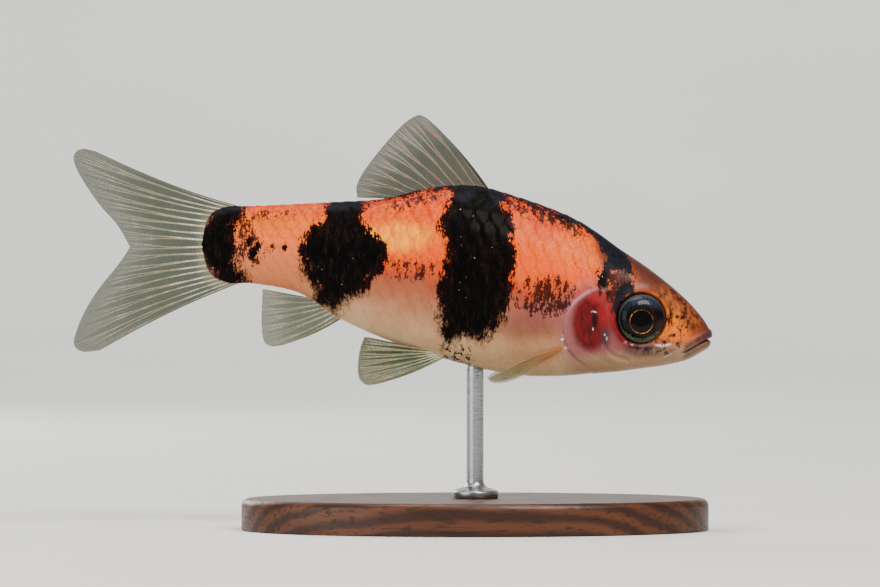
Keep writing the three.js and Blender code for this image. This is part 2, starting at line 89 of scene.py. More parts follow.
# Gill cover and cheek
GILL_LINE = [(9.5, 11.0), (10.5, 8.8), (12.1, 7.8), (13.4, 6.6), (14.0, 4.9), (13.8, 3.1),
             (12.9, 1.8), (11.5, 0.6), (10.6, -1.2)]
GILL_TOP = 8.3
GILL_STEP = 0.13
CHEEK_LINE = [(9.7, 7.6), (10.2, 6.2), (10.4, 4.6), (10.2, 3.1), (9.3, 2.0), (7.9, 1.5)]
LOWER_COVER_LINE = [(13.2, 3.0), (12.0, 2.6), (10.9, 1.9), (9.6, 1.2)]

# Eye
EYE_PLACE = (6.68, 5.45)
EYE_RADIUS = 2.3
EYE_DEPTH = 1.95
EYE_TURN = math.radians(7)
EYE_DOME = 1.48
EYE_RIM = 0.2
EYE_RINGS = 72
EYE_SIDES = 96
EYE_BACK = [(0, -0.9), (1.6, -0.8), (2.1, -0.35), (2.28, 0.05)]
SOCKET_FLOOR = EYE_DEPTH + EYE_BACK[0][1]
ORBIT_HEIGHT = 0.2
PUPIL_SHARE = 1.07 / EYE_RADIUS
PUPIL_BACK = 0.2
PUPIL_DROP = 0.4

# Mouth, nostril and barbels
MOUTH_LINE = [(-0.3, 3.56), (0.3, 3.42), (1.0, 3.1), (1.9, 2.6), (2.7, 2.15)]
MOUTH_CORNER = 2.75
MOUTH_CUT = 0.4
UPPER_LIP = 0.2
LOWER_LIP = 0.12
NOSTRIL_PLACE = (2.75, 5.5)
NOSTRIL_DEPTH = 0.2
BARBEL_ROOT = (3.3, 2.3)
BARBEL_OFF = 1.36932
BARBEL_LENGTH = 1.7
BARBEL_RADIUS = 0.17
BARBEL_STEPS = 22
BARBEL_SIDES = 16

# Scales: rows from the ridge of the back to the keel of the belly, and the length that shows of each along
# the body. A tile is an ellipse of the lattice, with its reach along and across.
SCALE_ROWS = 11
PITCH_PLACES = (10, 24, 47)
SCALE_PITCHES = (1.3775, 1.45, 1.044)
SCALE_STEP = 0.26
TILE_LONG = 1.05
TILE_WIDE = 0.86
PORE_ROW = 5.5

# Dark patches of the skin, as closed outlines in the side view
TAIL_PATCH = [
    (48.8, 12.0), (48.0, 14.0), (46.9, 15.3), (46.0, 17.4), (43.8, 17.2), (44.1, 15.3), (44.7, 14.3),
    (44.8, 12.9), (44.7, 11.6), (44.4, 10.4), (43.7, 9.6), (43.6, 8.3), (46.0, 8.2), (47.4, 10.0),
]
MIDDLE_PATCH = [
    (36.2, 17.6), (36.3, 15.2), (36.6, 14.4), (37.6, 14.0), (37.9, 13.3), (38.6, 12.9), (38.8, 11.6),
    (38.5, 10.5), (37.9, 9.3), (37.4, 8.2), (37.5, 7.2), (36.3, 6.5), (35.2, 5.9), (34.6, 6.7), (33.7, 7.4),
    (32.5, 8.0), (31.9, 8.9), (30.9, 9.7), (30.4, 10.8), (30.6, 12.2), (31.4, 13.2), (32.1, 14.1),
    (32.7, 15.2), (32.9, 17.6),
]
SHOULDER_BAND = [
    (24.3, 19.5), (24.5, 16.7), (25.1, 15.6), (25.4, 14.1), (24.9, 12.3), (25.2, 10.6), (25.8, 8.4),
    (25.8, 6.6), (25.6, 4.8), (25.1, 2.9), (24.2, 3.0), (23.2, 3.5), (22.5, 3.5), (21.8, 3.1), (20.9, 3.9),
    (20.0, 4.5), (19.7, 5.4), (19.1, 6.5), (18.7, 8.0), (18.5, 10.2), (18.4, 12.0), (18.9, 15.0),
    (19.3, 16.6), (19.0, 19.5),
]
NAPE_PATCH = [
    (11.5, 15.5), (10.7, 13.2), (10.5, 12.1), (10.0, 11.2), (10.2, 10.4), (10.8, 9.4), (10.6, 8.4),
    (10.0, 8.5), (9.7, 9.4), (9.0, 10.0), (8.1, 9.9), (7.2, 9.1), (7.3, 10.0), (7.8, 11.2), (7.8, 13.2),
]
EYE_SHADOW = [(7.6, 8.9), (8.5, 8.7), (9.2, 7.4), (9.4, 6.2), (9.0, 5.3), (8.7, 6.4), (8.2, 7.3), (7.5, 8.0)]
DARK_PATCHES = (TAIL_PATCH, MIDDLE_PATCH, SHOULDER_BAND, NAPE_PATCH, EYE_SHADOW)

# The dark line along the back: behind, width. Then round dots: behind, above, radius.
RIDGE_WIDTHS = [(6.5, -1.0), (8, 0.4), (11, 0.8), (15, 0.6), (19, 0.5), (24, 0.35), (31, 0.25), (34, -0.4),
                (42, -0.6), (44, 0), (46, 0.3)]
DOTS = [(43.1, 11.5, 0.55), (43.5, 12.7, 0.4), (42.6, 12.2, 0.4), (41.3, 12.1, 0.28), (40.0, 12.1, 0.25),
        (3.6, 3.85, 0.17), (3.95, 3.75, 0.1), (4.5, 3.25, 0.22), (6.1, 2.5, 0.22), (7.1, 2.75, 0.16),
        (4.3, 2.3, 0.14), (3.9, 2.45, 0.12)]
DOT_STEEPNESS = 1.7

# Dark specks along the back: strength, then where they start, are full, thin out and end
BACK_SPECKS = [(0.9, 25, 26, 29.5, 31), (1.35, 11.5, 13, 18.5, 20), (0.3, 38.5, 39.5, 60, 61)]

# Soft spots of each tint of the skin, of its painted shade and glints, and of the dark specks
TINTS = {
    "mottle": [(15.9, 7.6, 2.9, 1.9, 0.35), (28.2, 9.9, 2.2, 1.0, 0.4, 0.86), (42.9, 12.0, 1.0, 1.5, 0.4),
               (44.5, 13.0, 1.5, 2.1, 0.3, 1.1), (9.0, 8.8, 1.6, 1.9, 0.4, 1.45),
               (24.0, 1.9, 1.5, 1.0, 0.6, 0.95), (3.3, 6.0, 1.9, 2.6, 0.5, 0.48),
               (4.9, 2.9, 2.6, 0.7, 0.5, 0.42)],
    "red": [(11.4, 5.0, 1.75, 2.6, 0.22), (9.7, 6.2, 0.9, 1.8, 0.5, 0.7), (10.7, 7.3, 1.0, 1.1, 0.5, 0.75)],
    "rosy": [(10.0, 6.2, 0.8, 1.7), (10.7, 7.5, 0.9, 0.7)],
    "dusk": [(6.4, 2.4, 2.1, 0.6, 0.6), (10.0, 3.7, 0.5, 1.0, 0.7)],
    # painted shade: a dusky darkening of the lower flank behind the gill cover, below the mottle
    "foot": [(17.3, 4.7, 2.9, 1.3, 0.6)],
    "gold": [(12.8, 11.7, 2.8, 2.0, 0.6, 0.15), (29.6, 13.0, 3.2, 1.3)],
    "ember": [(16.4, 10.1, 2.7, 1.2), (25.6, 10.9, 1.3, 1.3)],
    # painted glints: small white highlights at the pectoral root, below the eye, about the gill slit and
    # above it
    "glint_spots": [(14.05, 3.55, 0.13, 0.24, 0.6), (13.75, 2.65, 0.24, 0.13, 0.6), (8.2, 3.2, 0.2, 0.06, 0.6),
              (7.6, 3.0, 0.12, 0.05, 0.6), (11.2, 4.5, 0.04, 0.14, 0.6), (9.9, 3.6, 0.05, 0.16, 0.6),
              (10.1, 3.9, 0.05, 0.1, 0.6), (10.3, 2.9, 0.04, 0.1, 0.6), (11.1, 6.05, 0.28, 0.05, 0.6)],
    "slit": [(11.05, 5.3, 0.28, 0.72, 0.6)],
    "pink": [(11.2, 4.6, 3.3, 4.4, 0.3), (7.6, 3.2, 2.2, 1.2, 0.5, 0.8), (15.6, 5.9, 3.2, 1.3, 0.6, 0.5)],
    "cheek": [(3.9, 5.7, 2.7, 2.7, 0.35)],
    "rust": [(9.0, 8.9, 1.7, 1.7)],
}

# Fins: root and tips as points behind, above, off the middle plane; each ray splits twice on its way out
DORSAL_ROOT = [(21.0, 17.6, 0), (22.7, 17.8, 0), (25.5, 17.6, 0), (27.6, 17.3, 0), (29.7, 16.7, 0)]
DORSAL_TIPS = [(26.0, 23.6, 0), (26.9, 24.4, 0), (27.8, 24.5, 0), (29.4, 23.3, 0), (32.1, 20.1, 0),
               (33.3, 18.1, 0), (33.3, 16.8, 0)]
ANAL_ROOT = [(34.9, 5.5, 0), (35.9, 6.1, 0), (36.8, 6.7, 0), (37.8, 7.4, 0)]
ANAL_TIPS = [(40.4, 2.9, 0), (41.4, 2.8, 0), (42.1, 3.3, 0), (42.3, 4.6, 0), (42.3, 6.4, 0), (42.2, 8.2, 0)]
TAIL_UPPER_ROOT = [(43.6, 15.9, 0), (46.0, 15.4, 0), (47.3, 14.3, 0), (47.9, 13.2, 0), (48.0, 12.15, 0)]
TAIL_UPPER_TIPS = [(58.0, 21.2, 0), (59.3, 21.4, 0), (60.0, 20.8, 0), (59.8, 19.6, 0), (58.7, 17.7, 0),
                   (57.4, 15.9, 0), (55.9, 14.2, 0), (54.7, 12.15, 0)]
TAIL_LOWER_ROOT = [(43.7, 8.9, 0), (45.9, 9.2, 0), (47.2, 10.2, 0), (47.9, 11.2, 0), (48.0, 12.15, 0)]
TAIL_LOWER_TIPS = [(57.6, 2.4, 0), (59.2, 2.3, 0), (60.0, 3.0, 0), (59.7, 4.4, 0), (58.8, 6.4, 0),
                   (57.5, 8.4, 0), (55.8, 10.5, 0), (54.7, 12.15, 0)]
PELVIC_ROOT = [(25.0, 1.9, 0.85), (25.7, 2.15, 0.95), (26.4, 2.45, 1.0)]
PELVIC_TIPS = [(31.4, -0.7, 2.7), (32.4, -0.8, 2.6), (33.1, -0.1, 2.4), (33.2, 1.2, 2.2), (33.0, 2.6, 2.0),
               (32.6, 3.7, 1.9)]
PECTORAL_ROOT = [(13.9, 2.7, 2.85), (14.3, 2.4, 2.7), (14.7, 2.15, 2.55)]
PECTORAL_TIPS = [(19.6, 0.5, 6.9), (20.5, 0.1, 6.7), (21.0, -0.25, 6.1), (20.5, -0.55, 5.3),
                 (19.5, -0.55, 4.6), (18.2, -0.15, 3.9)]
MEMBRANE = 0.09
RAY_THICKNESS = 0.2
RAY_WANDER = 0.1
RAY_JOINT = 0.34
ROOT_SUNK = 1.3

# Stand
BASE_LOW, BASE_HIGH = (np.array(corner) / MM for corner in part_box("stand_base"))
ROD_LOW, ROD_HIGH = (np.array(corner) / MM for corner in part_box("stand_rod"))
ROD_RADIUS = 0.8
EDGE_ROUND = 0.7
FOOT_ROUND = 0.15

# How much deeper a pigment is than it looks in the photograph
PIGMENT_DEPTH = 1.45

# Camera: as far off as a close-up lens stands, level, square to the fish
CAMERA_DISTANCE = 450.0
VIEW_WIDTH = 82.9
VIEW_CENTRE_X = 4.5
VIEW_CENTRE_Z = 22.27
SENSOR_WIDTH = 36.0

# Studio sheet
SHEET_HALF = 1400.0
SHEET_DEPTH = 800.0
SHEET_RISE = 1300.0
SHEET_BEND = 300.0


# Curves and fields

def spline(points, share):
    """Smooth curve through points: each span is a cubic that leaves and reaches its ends along half the step
    between their neighbours. share runs from 0 to 1 over the whole list."""
    points = np.asarray(points, float)
    spans = len(points) - 1
    along = np.clip(share, 0, 1) * spans
    first = np.minimum(along.astype(int), spans - 1)
    part = (along - first)[..., None]
    padded = np.vstack([2 * points[0] - points[1], points, 2 * points[-1] - points[-2]])
    before, start, end, after = (padded[first + k] for k in range(4))
    rise = 3 * part**2 - 2 * part**3
    leaving = (end - before) / 2 * (part**3 - 2 * part**2 + part)
    reaching = (after - start) / 2 * (part**3 - part**2)
    return start * (1 - rise) + end * rise + leaving + reaching


def traced(points, count):
    """The smooth curve as a line of count points."""
    return spline(points, np.linspace(0, 1, count))


def spread(steps, share):
    """Where a line of steps has run the given share of its whole length, from 0 to 1."""
    length = np.concatenate([[0], np.cumsum(steps)])
    return np.interp(share, length / length[-1], np.linspace(0, 1, len(length)))


def even_spline(points, share):
    """The same curve with share measured by length along it."""
    steps = np.linalg.norm(np.diff(traced(points, 600), axis=0), axis=1)
    return spline(points, spread(steps, share))


def smooth_step(value, low, high):
    """0 below low, 1 above high, and an S curve between."""
    part = np.clip((value - low) / (high - low), 0, 1)
    return part * part * (3 - 2 * part)


def fade(value, low, high):
    """1 below low, 0 above high, and an S curve between."""
    return 1 - smooth_step(value, low, high)


def bell(value, width, power=2):
    """1 where value is 0, falling off over width; a power of 4 makes its top flat and its sides steep."""
    return np.exp(-((value / width) ** power))


def blob(spot, behind, above, along, up, soft=0.5, strength=1.0):
    """strength inside an ellipse of the side view, fading to 0 over the share soft of its reach."""
    off = np.hypot((spot[..., 0] - behind) / along, (spot[..., 1] - above) / up)
    return strength * fade(off, 1 - soft, 1 + soft)


def blobs(spot, rows):
    """The strongest of several soft ellipses."""
    return np.maximum.reduce([blob(spot, *row) for row in rows])


def line_distance(spot, line):
    """Distance of each spot to a broken line, and the side it is on: + to the left of the way it runs."""
    best = np.full(spot.shape[:-1], np.inf)
    side = np.zeros(spot.shape[:-1])
    for start, end in zip(line[:-1], line[1:]):
        along = end - start
        off = spot - start
        part = np.clip((off @ along) / (along @ along), 0, 1)
        gap = np.linalg.norm(off - part[..., None] * along, axis=-1)
        turn = along[0] * off[..., 1] - along[1] * off[..., 0]
        nearer = gap < best
        best = np.where(nearer, gap, best)
        side = np.where(nearer, np.where(turn >= 0, 1.0, -1.0), side)
    return best, side


def patch_depth(spot, outline):
    """How deep a spot lies inside a closed smooth outline: + inside, - outside, in millimetres."""
    line = traced(outline + outline[:1], 5 * len(outline) + 1)
    gap, _ = line_distance(spot, line)
    inside = np.zeros(spot.shape[:-1], bool)
    for (x1, y1), (x2, y2) in zip(line[:-1], line[1:]):
        crosses = (y1 > spot[..., 1]) != (y2 > spot[..., 1])
        if y1 != y2:
            inside ^= crosses & (spot[..., 0] < (x2 - x1) * (spot[..., 1] - y1) / (y2 - y1) + x1)
    return np.where(inside, gap, -gap)


# Meshes

def placed(name, data, place=(0, 0, 0)):
    """Adds an object to the scene, at a place in millimetres."""
    made = bpy.data.objects.new(name, data)
    made.location = Vector(place) * MM
    bpy.context.scene.collection.objects.link(made)
    return made


def piece(name, points, faces, attributes=None):
    """A smooth mesh object from points in millimetres, arrays of faces and numbers per vertex."""
    mesh = bpy.data.meshes.new(name)
    faces = [face for group in faces for face in group.tolist()]
    mesh.from_pydata((np.asarray(points) * MM).tolist(), [], faces, shade_flat=False)
    mesh.validate()
    for label, values in (attributes or {}).items():
        layer = mesh.attributes.new(label, "FLOAT", "POINT")
        layer.data.foreach_set("value", np.asarray(values, np.float32).ravel())
    return placed(name, mesh)


def ring_faces(rings, sides):
    """Triangles to the poles that come before and after closed rings, and quads between the rings. They face
    outwards where the sides run clockwise, seen along the way of the rings."""
    here = 1 + sides * np.arange(rings)[:, None] + np.arange(sides)
    beside = np.roll(here, -1, axis=1)
    quads = np.stack([beside[:-1], beside[1:], here[1:], here[:-1]], axis=-1).reshape(-1, 4)
    first = np.stack([beside[0], here[0], 0 * here[0]], axis=-1)
    last = np.stack([here[-1], beside[-1], 0 * here[-1] + 1 + rings * sides], axis=-1)
    return [np.vstack([first, last]), quads]


def dressed(made, material, slot, *nodes):
    """Gives a piece its material and its body, and hides the nodes that it stands for. slot is not used."""
    made.data.materials.append(material)
    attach(made, "root")
    if nodes:
        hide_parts(*nodes)


def in_model(behind, above, y):
    """Points of the model from places in the side view and distances from the middle plane."""
    return np.stack(np.broadcast_arrays(NOSE_X - behind, y, BELLY_HEIGHT + above), axis=-1)


def lathe(profile, sides, centre_x, widen=1.0):
    """A profile of (radius, height) turned about the upright axis at centre_x, where it starts and ends, and
    its faces. widen stretches it across the fish."""
    profile = np.asarray(profile, float)
    turn = np.linspace(0, 2 * np.pi, sides, endpoint=False)
    rings = profile[1:-1]
    points = np.stack([
        rings[:, :1] * np.cos(turn),
        rings[:, :1] * np.sin(turn) * widen,
        np.repeat(rings[:, 1:], sides, axis=1),
    ], axis=-1).reshape(-1, 3)
    points = np.vstack([(0, 0, profile[0, 1]), points, (0, 0, profile[-1, 1])])
    return points + (centre_x, 0, 0), ring_faces(len(rings), sides)


# Nodes of a material

class Graph:
    """Adds nodes to one material and links them. A value is a socket, the name of a number per vertex, a
    colour as the photograph shows it, or a plain number."""

    def __init__(self, name, **sockets):
        self.material = bpy.data.materials.new(name)
        self.material.use_nodes = True
        self.tree = self.material.node_tree
        self.shader = self.tree.nodes["Principled BSDF"]
        self.shade(**sockets)

    def shade(self, **sockets):
        """Sets sockets of the shader. In a socket's name, underscores stand for spaces."""
        for label, value in sockets.items():
            self.feed(self.shader.inputs[label.replace("_", " ")], value)
        return self.material

    def feed(self, socket, value):
        if isinstance(value, str):
            value = self.put("Attribute", attribute_name=value).outputs["Fac"]
        if isinstance(value, bpy.types.NodeSocket):
            self.tree.links.new(value, socket)
        else:
            socket.default_value = colour(*value) if isinstance(value, tuple) else value

    def put(self, kind, values=None, **settings):
        node = self.tree.nodes.new("ShaderNode" + kind)
        for label, value in settings.items():
            setattr(node, label, value)
        for label, value in (values or {}).items():
            self.feed(node.inputs[label], value)
        return node

    def chain(self, operation, first, *others):
        """Joins values by one kind of arithmetic, from left to right."""
        for other in others:
            first = self.put("Math", {0: first, 1: other}, operation=operation).outputs[0]
        return first

    def plus(self, *values):
        return self.chain("ADD", *values)

    def times(self, *values):
        return self.chain("MULTIPLY", *values)

    def most(self, *values):
        return self.chain("MAXIMUM", *values)

    def sine(self, value):
        return self.put("Math", {0: value}, operation="SINE").outputs[0]

    def step(self, value, low, high, start=0.0, end=1.0):
        return self.put("MapRange", {
            "Value": value, "From Min": low, "From Max": high, "To Min": start, "To Max": end,
        }, interpolation_type="SMOOTHSTEP").outputs[0]

    def mix(self, share, first, second):
        return self.put("Mix", {0: share, 6: first, 7: second}, data_type="RGBA").outputs[2]

    def paint(self, base, coats):
        """Lays coats over base in turn. A coat is its colour and its shares, which are multiplied."""
        for over, *shares in coats:
            base = self.mix(self.times(*shares), base, over)
        return base

    def ramp(self, value, stops):
        node = self.put("ValToRGB", {"Fac": value})
        bar = node.color_ramp.elements
        while len(bar) < len(stops):
            bar.new(0.5)
        for element, (place, tone) in zip(bar, stops):
            element.position = place
            element.color = colour(*tone)
        return node.outputs["Color"]

    def noise(self, size, detail, roughness, stretch=(1, 1, 1)):
        """Noise on Object coordinates, its grains about size millimetres across and drawn out by stretch."""
        place = self.put("TexCoord").outputs["Object"]
        scale = [1 / (size * MM * part) for part in stretch]
        spaced = self.put("Mapping", {"Vector": place, "Scale": scale}).outputs[0]
        values = {"Vector": spaced, "Scale": 1.0, "Detail": detail, "Roughness": roughness}
        return self.put("TexNoise", values).outputs[0]

    def bump(self, height, distance, strength, under=None):
        values = {"Height": height, "Distance": distance * MM, "Strength": strength}
        if under:
            values["Normal"] = under
        return self.put("Bump", values).outputs[0]


def colour(red, green, blue):
    """A colour as the photograph shows it, in a material's linear numbers. It is deepened, because the studio
    light makes a pigment look paler."""
    parts = np.array([red, green, blue]) / 255
    linear = np.where(parts <= 0.04045, parts / 12.92, ((parts + 0.055) / 1.055) ** 2.4) ** PIGMENT_DEPTH
    return (*linear.tolist(), 1.0)


# Body shape

def body_points(share, angle):
    """The plain body: share runs from nose to tail, angle from the back round the left flank. A section spans
    the rails of back and belly, its width is half times the sine of the angle to the power crown or keel, and
    the gill cover bulges it out. Returns points, places in the side view, and levels from keel to ridge."""
    rail = spline(SECTIONS, share)
    lift = np.cos(angle)
    turn = np.sin(angle)
    girth = rail[..., 5]
    level = np.where(lift > 0, girth + (1 - girth) * lift, girth * (1 + lift))
    power = np.where(lift > 0, rail[..., 6], rail[..., 7])
    spot = rail[..., 2:4] + (rail[..., 0:2] - rail[..., 2:4]) * level[..., None]
    width = rail[..., 4] * np.abs(turn) ** power + blob(spot, *GILL_BULGE) * np.abs(turn)
    return in_model(spot[..., 0], spot[..., 1], np.sign(turn) * width), spot, level


def ring_places():
    """Where the rings go: closer together on the head, and evenly by length along back and belly."""
    rails = traced(SECTIONS, 4000)
    steps = sum(np.linalg.norm(np.diff(rails[:, k:k + 2], axis=0), axis=1) for k in (0, 2))
    steps /= HEAD_STEP + (1 - HEAD_STEP) * smooth_step(rails[1:, 0], HEAD_END - 3, HEAD_END + 2)
    return spread(steps, np.linspace(0, 1, SKIN_RINGS + 2)[1:-1])


def normals(grid):
    """Outward unit normals of a grid of closed rings, from the steps to the next rings and sides."""
    along = np.gradient(grid, axis=0)
    around = np.roll(grid, -1, axis=1) - np.roll(grid, 1, axis=1)
    across = np.cross(around, along)
    return across / np.maximum(np.linalg.norm(across, axis=-1, keepdims=True), 1e-9)


def scale_pitch(behind):
    """The length that shows of a scale at a place along the body."""
    return np.interp(behind, PITCH_PLACES, SCALE_PITCHES)


def scale_tiles(run, row):
    """Roof tiles in a lattice of run and row, every other row half a tile back. Each tile is an ellipse, and
    the one nearest the head lies on top. Returns the place along it, from 0 at its hidden front to 1 at its
    free edge, the distance to that edge, the place across, and a tone from the sine of a large number."""
    best = np.full(run.shape, np.inf)
    chosen = np.zeros((4, *run.shape))
    for line in (np.floor(row), np.floor(row) + 1):
        across = (row - line) / TILE_WIDE
        reach = TILE_LONG * np.sqrt(np.clip(1 - across**2, 0, 1))
        shift = 0.5 * (line % 2)
        centre = np.ceil(run - reach - shift) + shift
        on_top = (np.abs(across) < 1) & (centre < best)
        best = np.where(on_top, centre, best)
        along = run - centre
        tone = np.abs(np.sin(centre * 12.9898 + line * 78.233) * 43758.5453) % 1.0
        found = np.stack([(along + TILE_LONG) / (2 * TILE_LONG), reach - along, across, tone])
        chosen = np.where(on_top, found, chosen)
    return chosen


def build_skin():
    """The whole skin as one surface of rings. Every feature is a height over the plain body, added along its
    normals: scale tiles, gill cover, grooves, lips, nostrils and the rim of the eye. A height is a bell curve
    of the distance to the feature's line. The socket is a steep step inwards."""
    turn = np.linspace(0, 2 * np.pi, SKIN_SIDES, endpoint=False)
    share, angle = np.meshgrid(ring_places(), turn + SIDE_CROWDING * np.sin(2 * turn), indexing="ij")
    grid, spot, level = body_points(share, angle)
    out = normals(grid)
    width = np.abs(grid[..., 1])
    behind = spot[..., 0]
    above = spot[..., 1]

    gill, side = line_distance(spot, traced(GILL_LINE, 60))
    ahead = -side * gill
    gill_open = fade(above, GILL_TOP - 0.6, GILL_TOP + 0.5)
    on_cover = smooth_step(ahead, -0.04, 0.16)
    cover = GILL_STEP * np.exp(-np.maximum(ahead, 0) / 1.3) * on_cover
    trench = GILL_STEP * np.exp(np.minimum(ahead, 0) / 0.35) * (1 - on_cover)
    height = (cover - trench) * gill_open * (0.25 + 0.75 * smooth_step(above, 0.2, 2.4))
    cheek, _ = line_distance(spot, traced(CHEEK_LINE, 40))
    height += 0.05 * bell(cheek - 0.35, 0.25) - 0.09 * bell(cheek, 0.14)
    lower, _ = line_distance(spot, traced(LOWER_COVER_LINE, 30))
    height -= 0.05 * bell(lower, 0.12)

    mouth = above - np.interp(behind, *np.array(MOUTH_LINE).T)
    mouth_share = fade(behind, MOUTH_CORNER - 0.5, MOUTH_CORNER + 0.1)
    lips = UPPER_LIP * bell(mouth - 0.5, 0.46, 4) + LOWER_LIP * bell(mouth + 0.45, 0.36, 4)
    height += (lips - MOUTH_CUT * bell(mouth, 0.1)) * mouth_share
    height -= 0.06 * bell(mouth + 0.95 + 0.1 * behind, 0.14) * fade(behind, 2.6, 3.8)

    hole_behind = behind - NOSTRIL_PLACE[0]
    hole_above = above - NOSTRIL_PLACE[1]
    nostril = np.hypot(hole_behind, hole_above)
    nostril_back = np.hypot(hole_behind - 0.5, hole_above - 0.05)
    flap = np.hypot((hole_behind - 0.25) / 0.1, hole_above / 0.26)
    height += 0.16 * bell(flap, 1) + 0.05 * bell(nostril - 0.3, 0.12)
    height -= NOSTRIL_DEPTH * (bell(nostril, 0.17, 4) + bell(nostril_back, 0.15, 4))

    ring_length = np.linalg.norm(np.diff(grid[:, : SKIN_SIDES // 2 + 1], axis=1), axis=-1)
    down = np.concatenate([np.zeros((SKIN_RINGS, 1)), np.cumsum(ring_length, axis=1)], axis=1)
    down /= down[:, -1:]
    row = np.concatenate([down, down[:, -2:0:-1]], axis=1) * SCALE_ROWS
    middle = spline(SECTIONS, share[:, 0])[:, 0]
    run = np.cumsum(np.gradient(middle) / scale_pitch(middle))[:, None]
    run = run + (behind - middle[:, None]) / scale_pitch(behind)
    tile_along, tile_edge, tile_across, tile_tone = scale_tiles(run, row)
    nape = smooth_step(behind - 0.25 * (above - 8), 9.2, 10.4)
    scaled = np.where(above > GILL_TOP, nape, smooth_step(-ahead, 0.1, 0.5))
    scaled = scaled * (behind > 8) * (1 - 0.75 * smooth_step(behind, 46.6, 47.8))
    keel = smooth_step(level, 0.04, 0.3) * (1 - 0.6 * smooth_step(level, 0.93, 0.99))
    tile = SCALE_STEP * (tile_along - 0.55) * (1 - 0.35 * tile_across**2) - 0.06 * bell(tile_edge, 0.1)
    height += tile * scaled * (0.2 + 0.8 * keel)
    pores = bell(row - PORE_ROW - 0.2 * smooth_step(behind, 14, 20), 0.1) * bell(tile_along - 0.62, 0.12)
    height += 0.04 * pores * scaled

    eye_off = np.hypot(behind - EYE_PLACE[0], above - EYE_PLACE[1])
    height += ORBIT_HEIGHT * bell(eye_off - EYE_RADIUS - 0.26, 0.2) * fade(above, 9.5, 10.2)
    socket = fade(eye_off, EYE_RADIUS - 0.3, EYE_RADIUS + 0.1) * np.minimum(SOCKET_FLOOR - width, 0)
    grid = grid + out * height[..., None]
    grid[..., 1] += np.sign(grid[..., 1]) * socket * (width > 0.5)

    below_back = np.interp(behind, SECTIONS[:, 0], SECTIONS[:, 1]) - above
    dark = np.maximum.reduce([patch_depth(spot, outline) for outline in DARK_PATCHES])
    dark = np.maximum(dark, np.interp(behind, *np.array(RIDGE_WIDTHS).T) - below_back)
    for dot_behind, dot_above, dot_radius in DOTS:
        dot_gap = np.hypot((behind - dot_behind) * 1.2, above - dot_above)
        dark = np.maximum(dark, DOT_STEEPNESS * (dot_radius - dot_gap))
    fields = {label: blobs(spot, rows) for label, rows in TINTS.items()}
    for strength, start, full, thin, end in BACK_SPECKS:
        specks = strength * bell(below_back - 0.9, 0.65) * smooth_step(behind, start, full)
        fields["mottle"] = np.maximum(fields["mottle"], specks * fade(behind, thin, end))
    crown_edge = bell(below_back, 0.36) * fade(behind, 6.5, 8.5)
    fields["dusk"] = np.maximum.reduce([fields["dusk"], crown_edge, smooth_step(behind, 45.6, 46.6)])
    eye_way = ((behind - EYE_PLACE[0]) * 0.86 - (above - EYE_PLACE[1]) * 0.5) / np.maximum(eye_off, 0.1)
    # painted glints: a thin broken line of white highlights under the eye
    under_eye_glints = bell(above - 2.95 + 0.08 * np.sin(3 * behind), 0.085) * fade(behind, 7.6, 8.6)
    fields |= {
        "level": level,
        "dark": np.clip(dark, -3, 3),
        "behind": behind,
        "blush": bell(np.maximum(eye_off - 2.45, 0), 0.75) * smooth_step(eye_way, 0.35, 0.8) * (eye_off > 2),
        "crown": smooth_step(above - behind, 1.3, 3.0) * fade(behind, 7.0, 9.5),
        "jaw": fade(above + 0.1 * behind, 2.7, 3.7) * fade(behind, 11, 15),
        "head": np.where(above > GILL_TOP, 1 - nape, smooth_step(ahead, -0.15, 0.1)) * (behind < 15),
        "lip": bell(mouth - 0.5, 0.42) * mouth_share,
        # partly the lower lip's own grey-brown, partly painted shade where it sits back under the upper lip
        "lower_lip_and_shade": bell(mouth + 0.32, 0.26) * mouth_share,
        # painted shade in the mouth's groove between the lips
        "gape_shade": bell(mouth, 0.11) * mouth_share,
        # painted shade in the nostril holes
        "nostril": bell(nostril, 0.22, 4) + bell(nostril_back, 0.18, 4),
        # the gill cover's pale rim, partly its own colour and partly painted highlight that grows towards its
        # top, and a painted highlight above the eye
        "pale_rim_and_highlight": bell(ahead - 0.12, 0.16) * gill_open * (0.4 + 0.9 * smooth_step(above, 5.5, 7))
        + blob(spot, 6.8, 8.4, 0.8, 0.3, 0.8, 0.55),
        "under_eye_glints": under_eye_glints * smooth_step(behind, 3.7, 4.1) * (1 - 0.94 * smooth_step(behind, 5.0, 5.6)),
        # painted shade on the skin sloping down into the eye's socket
        "socket": fade(eye_off, EYE_RADIUS, EYE_RADIUS + 0.28),
        "tile_edge": bell(tile_edge, 0.13) * scaled,
        "tile_along": tile_along * scaled,
        "tile_tone": (tile_tone - 0.5) * scaled,
    }
    poles, _, _ = body_points(np.array([0.0, 1.0]), np.zeros(2))
    poles[0, 0] -= NOSE_CAP
    points = np.vstack([poles[:1], grid.reshape(-1, 3), poles[1:]])
    for label, value in fields.items():
        fields[label] = np.concatenate([value[0, :1], value.ravel(), value[-1, :1]])
    return piece("skin", points, ring_faces(SKIN_RINGS, SKIN_SIDES), fields)


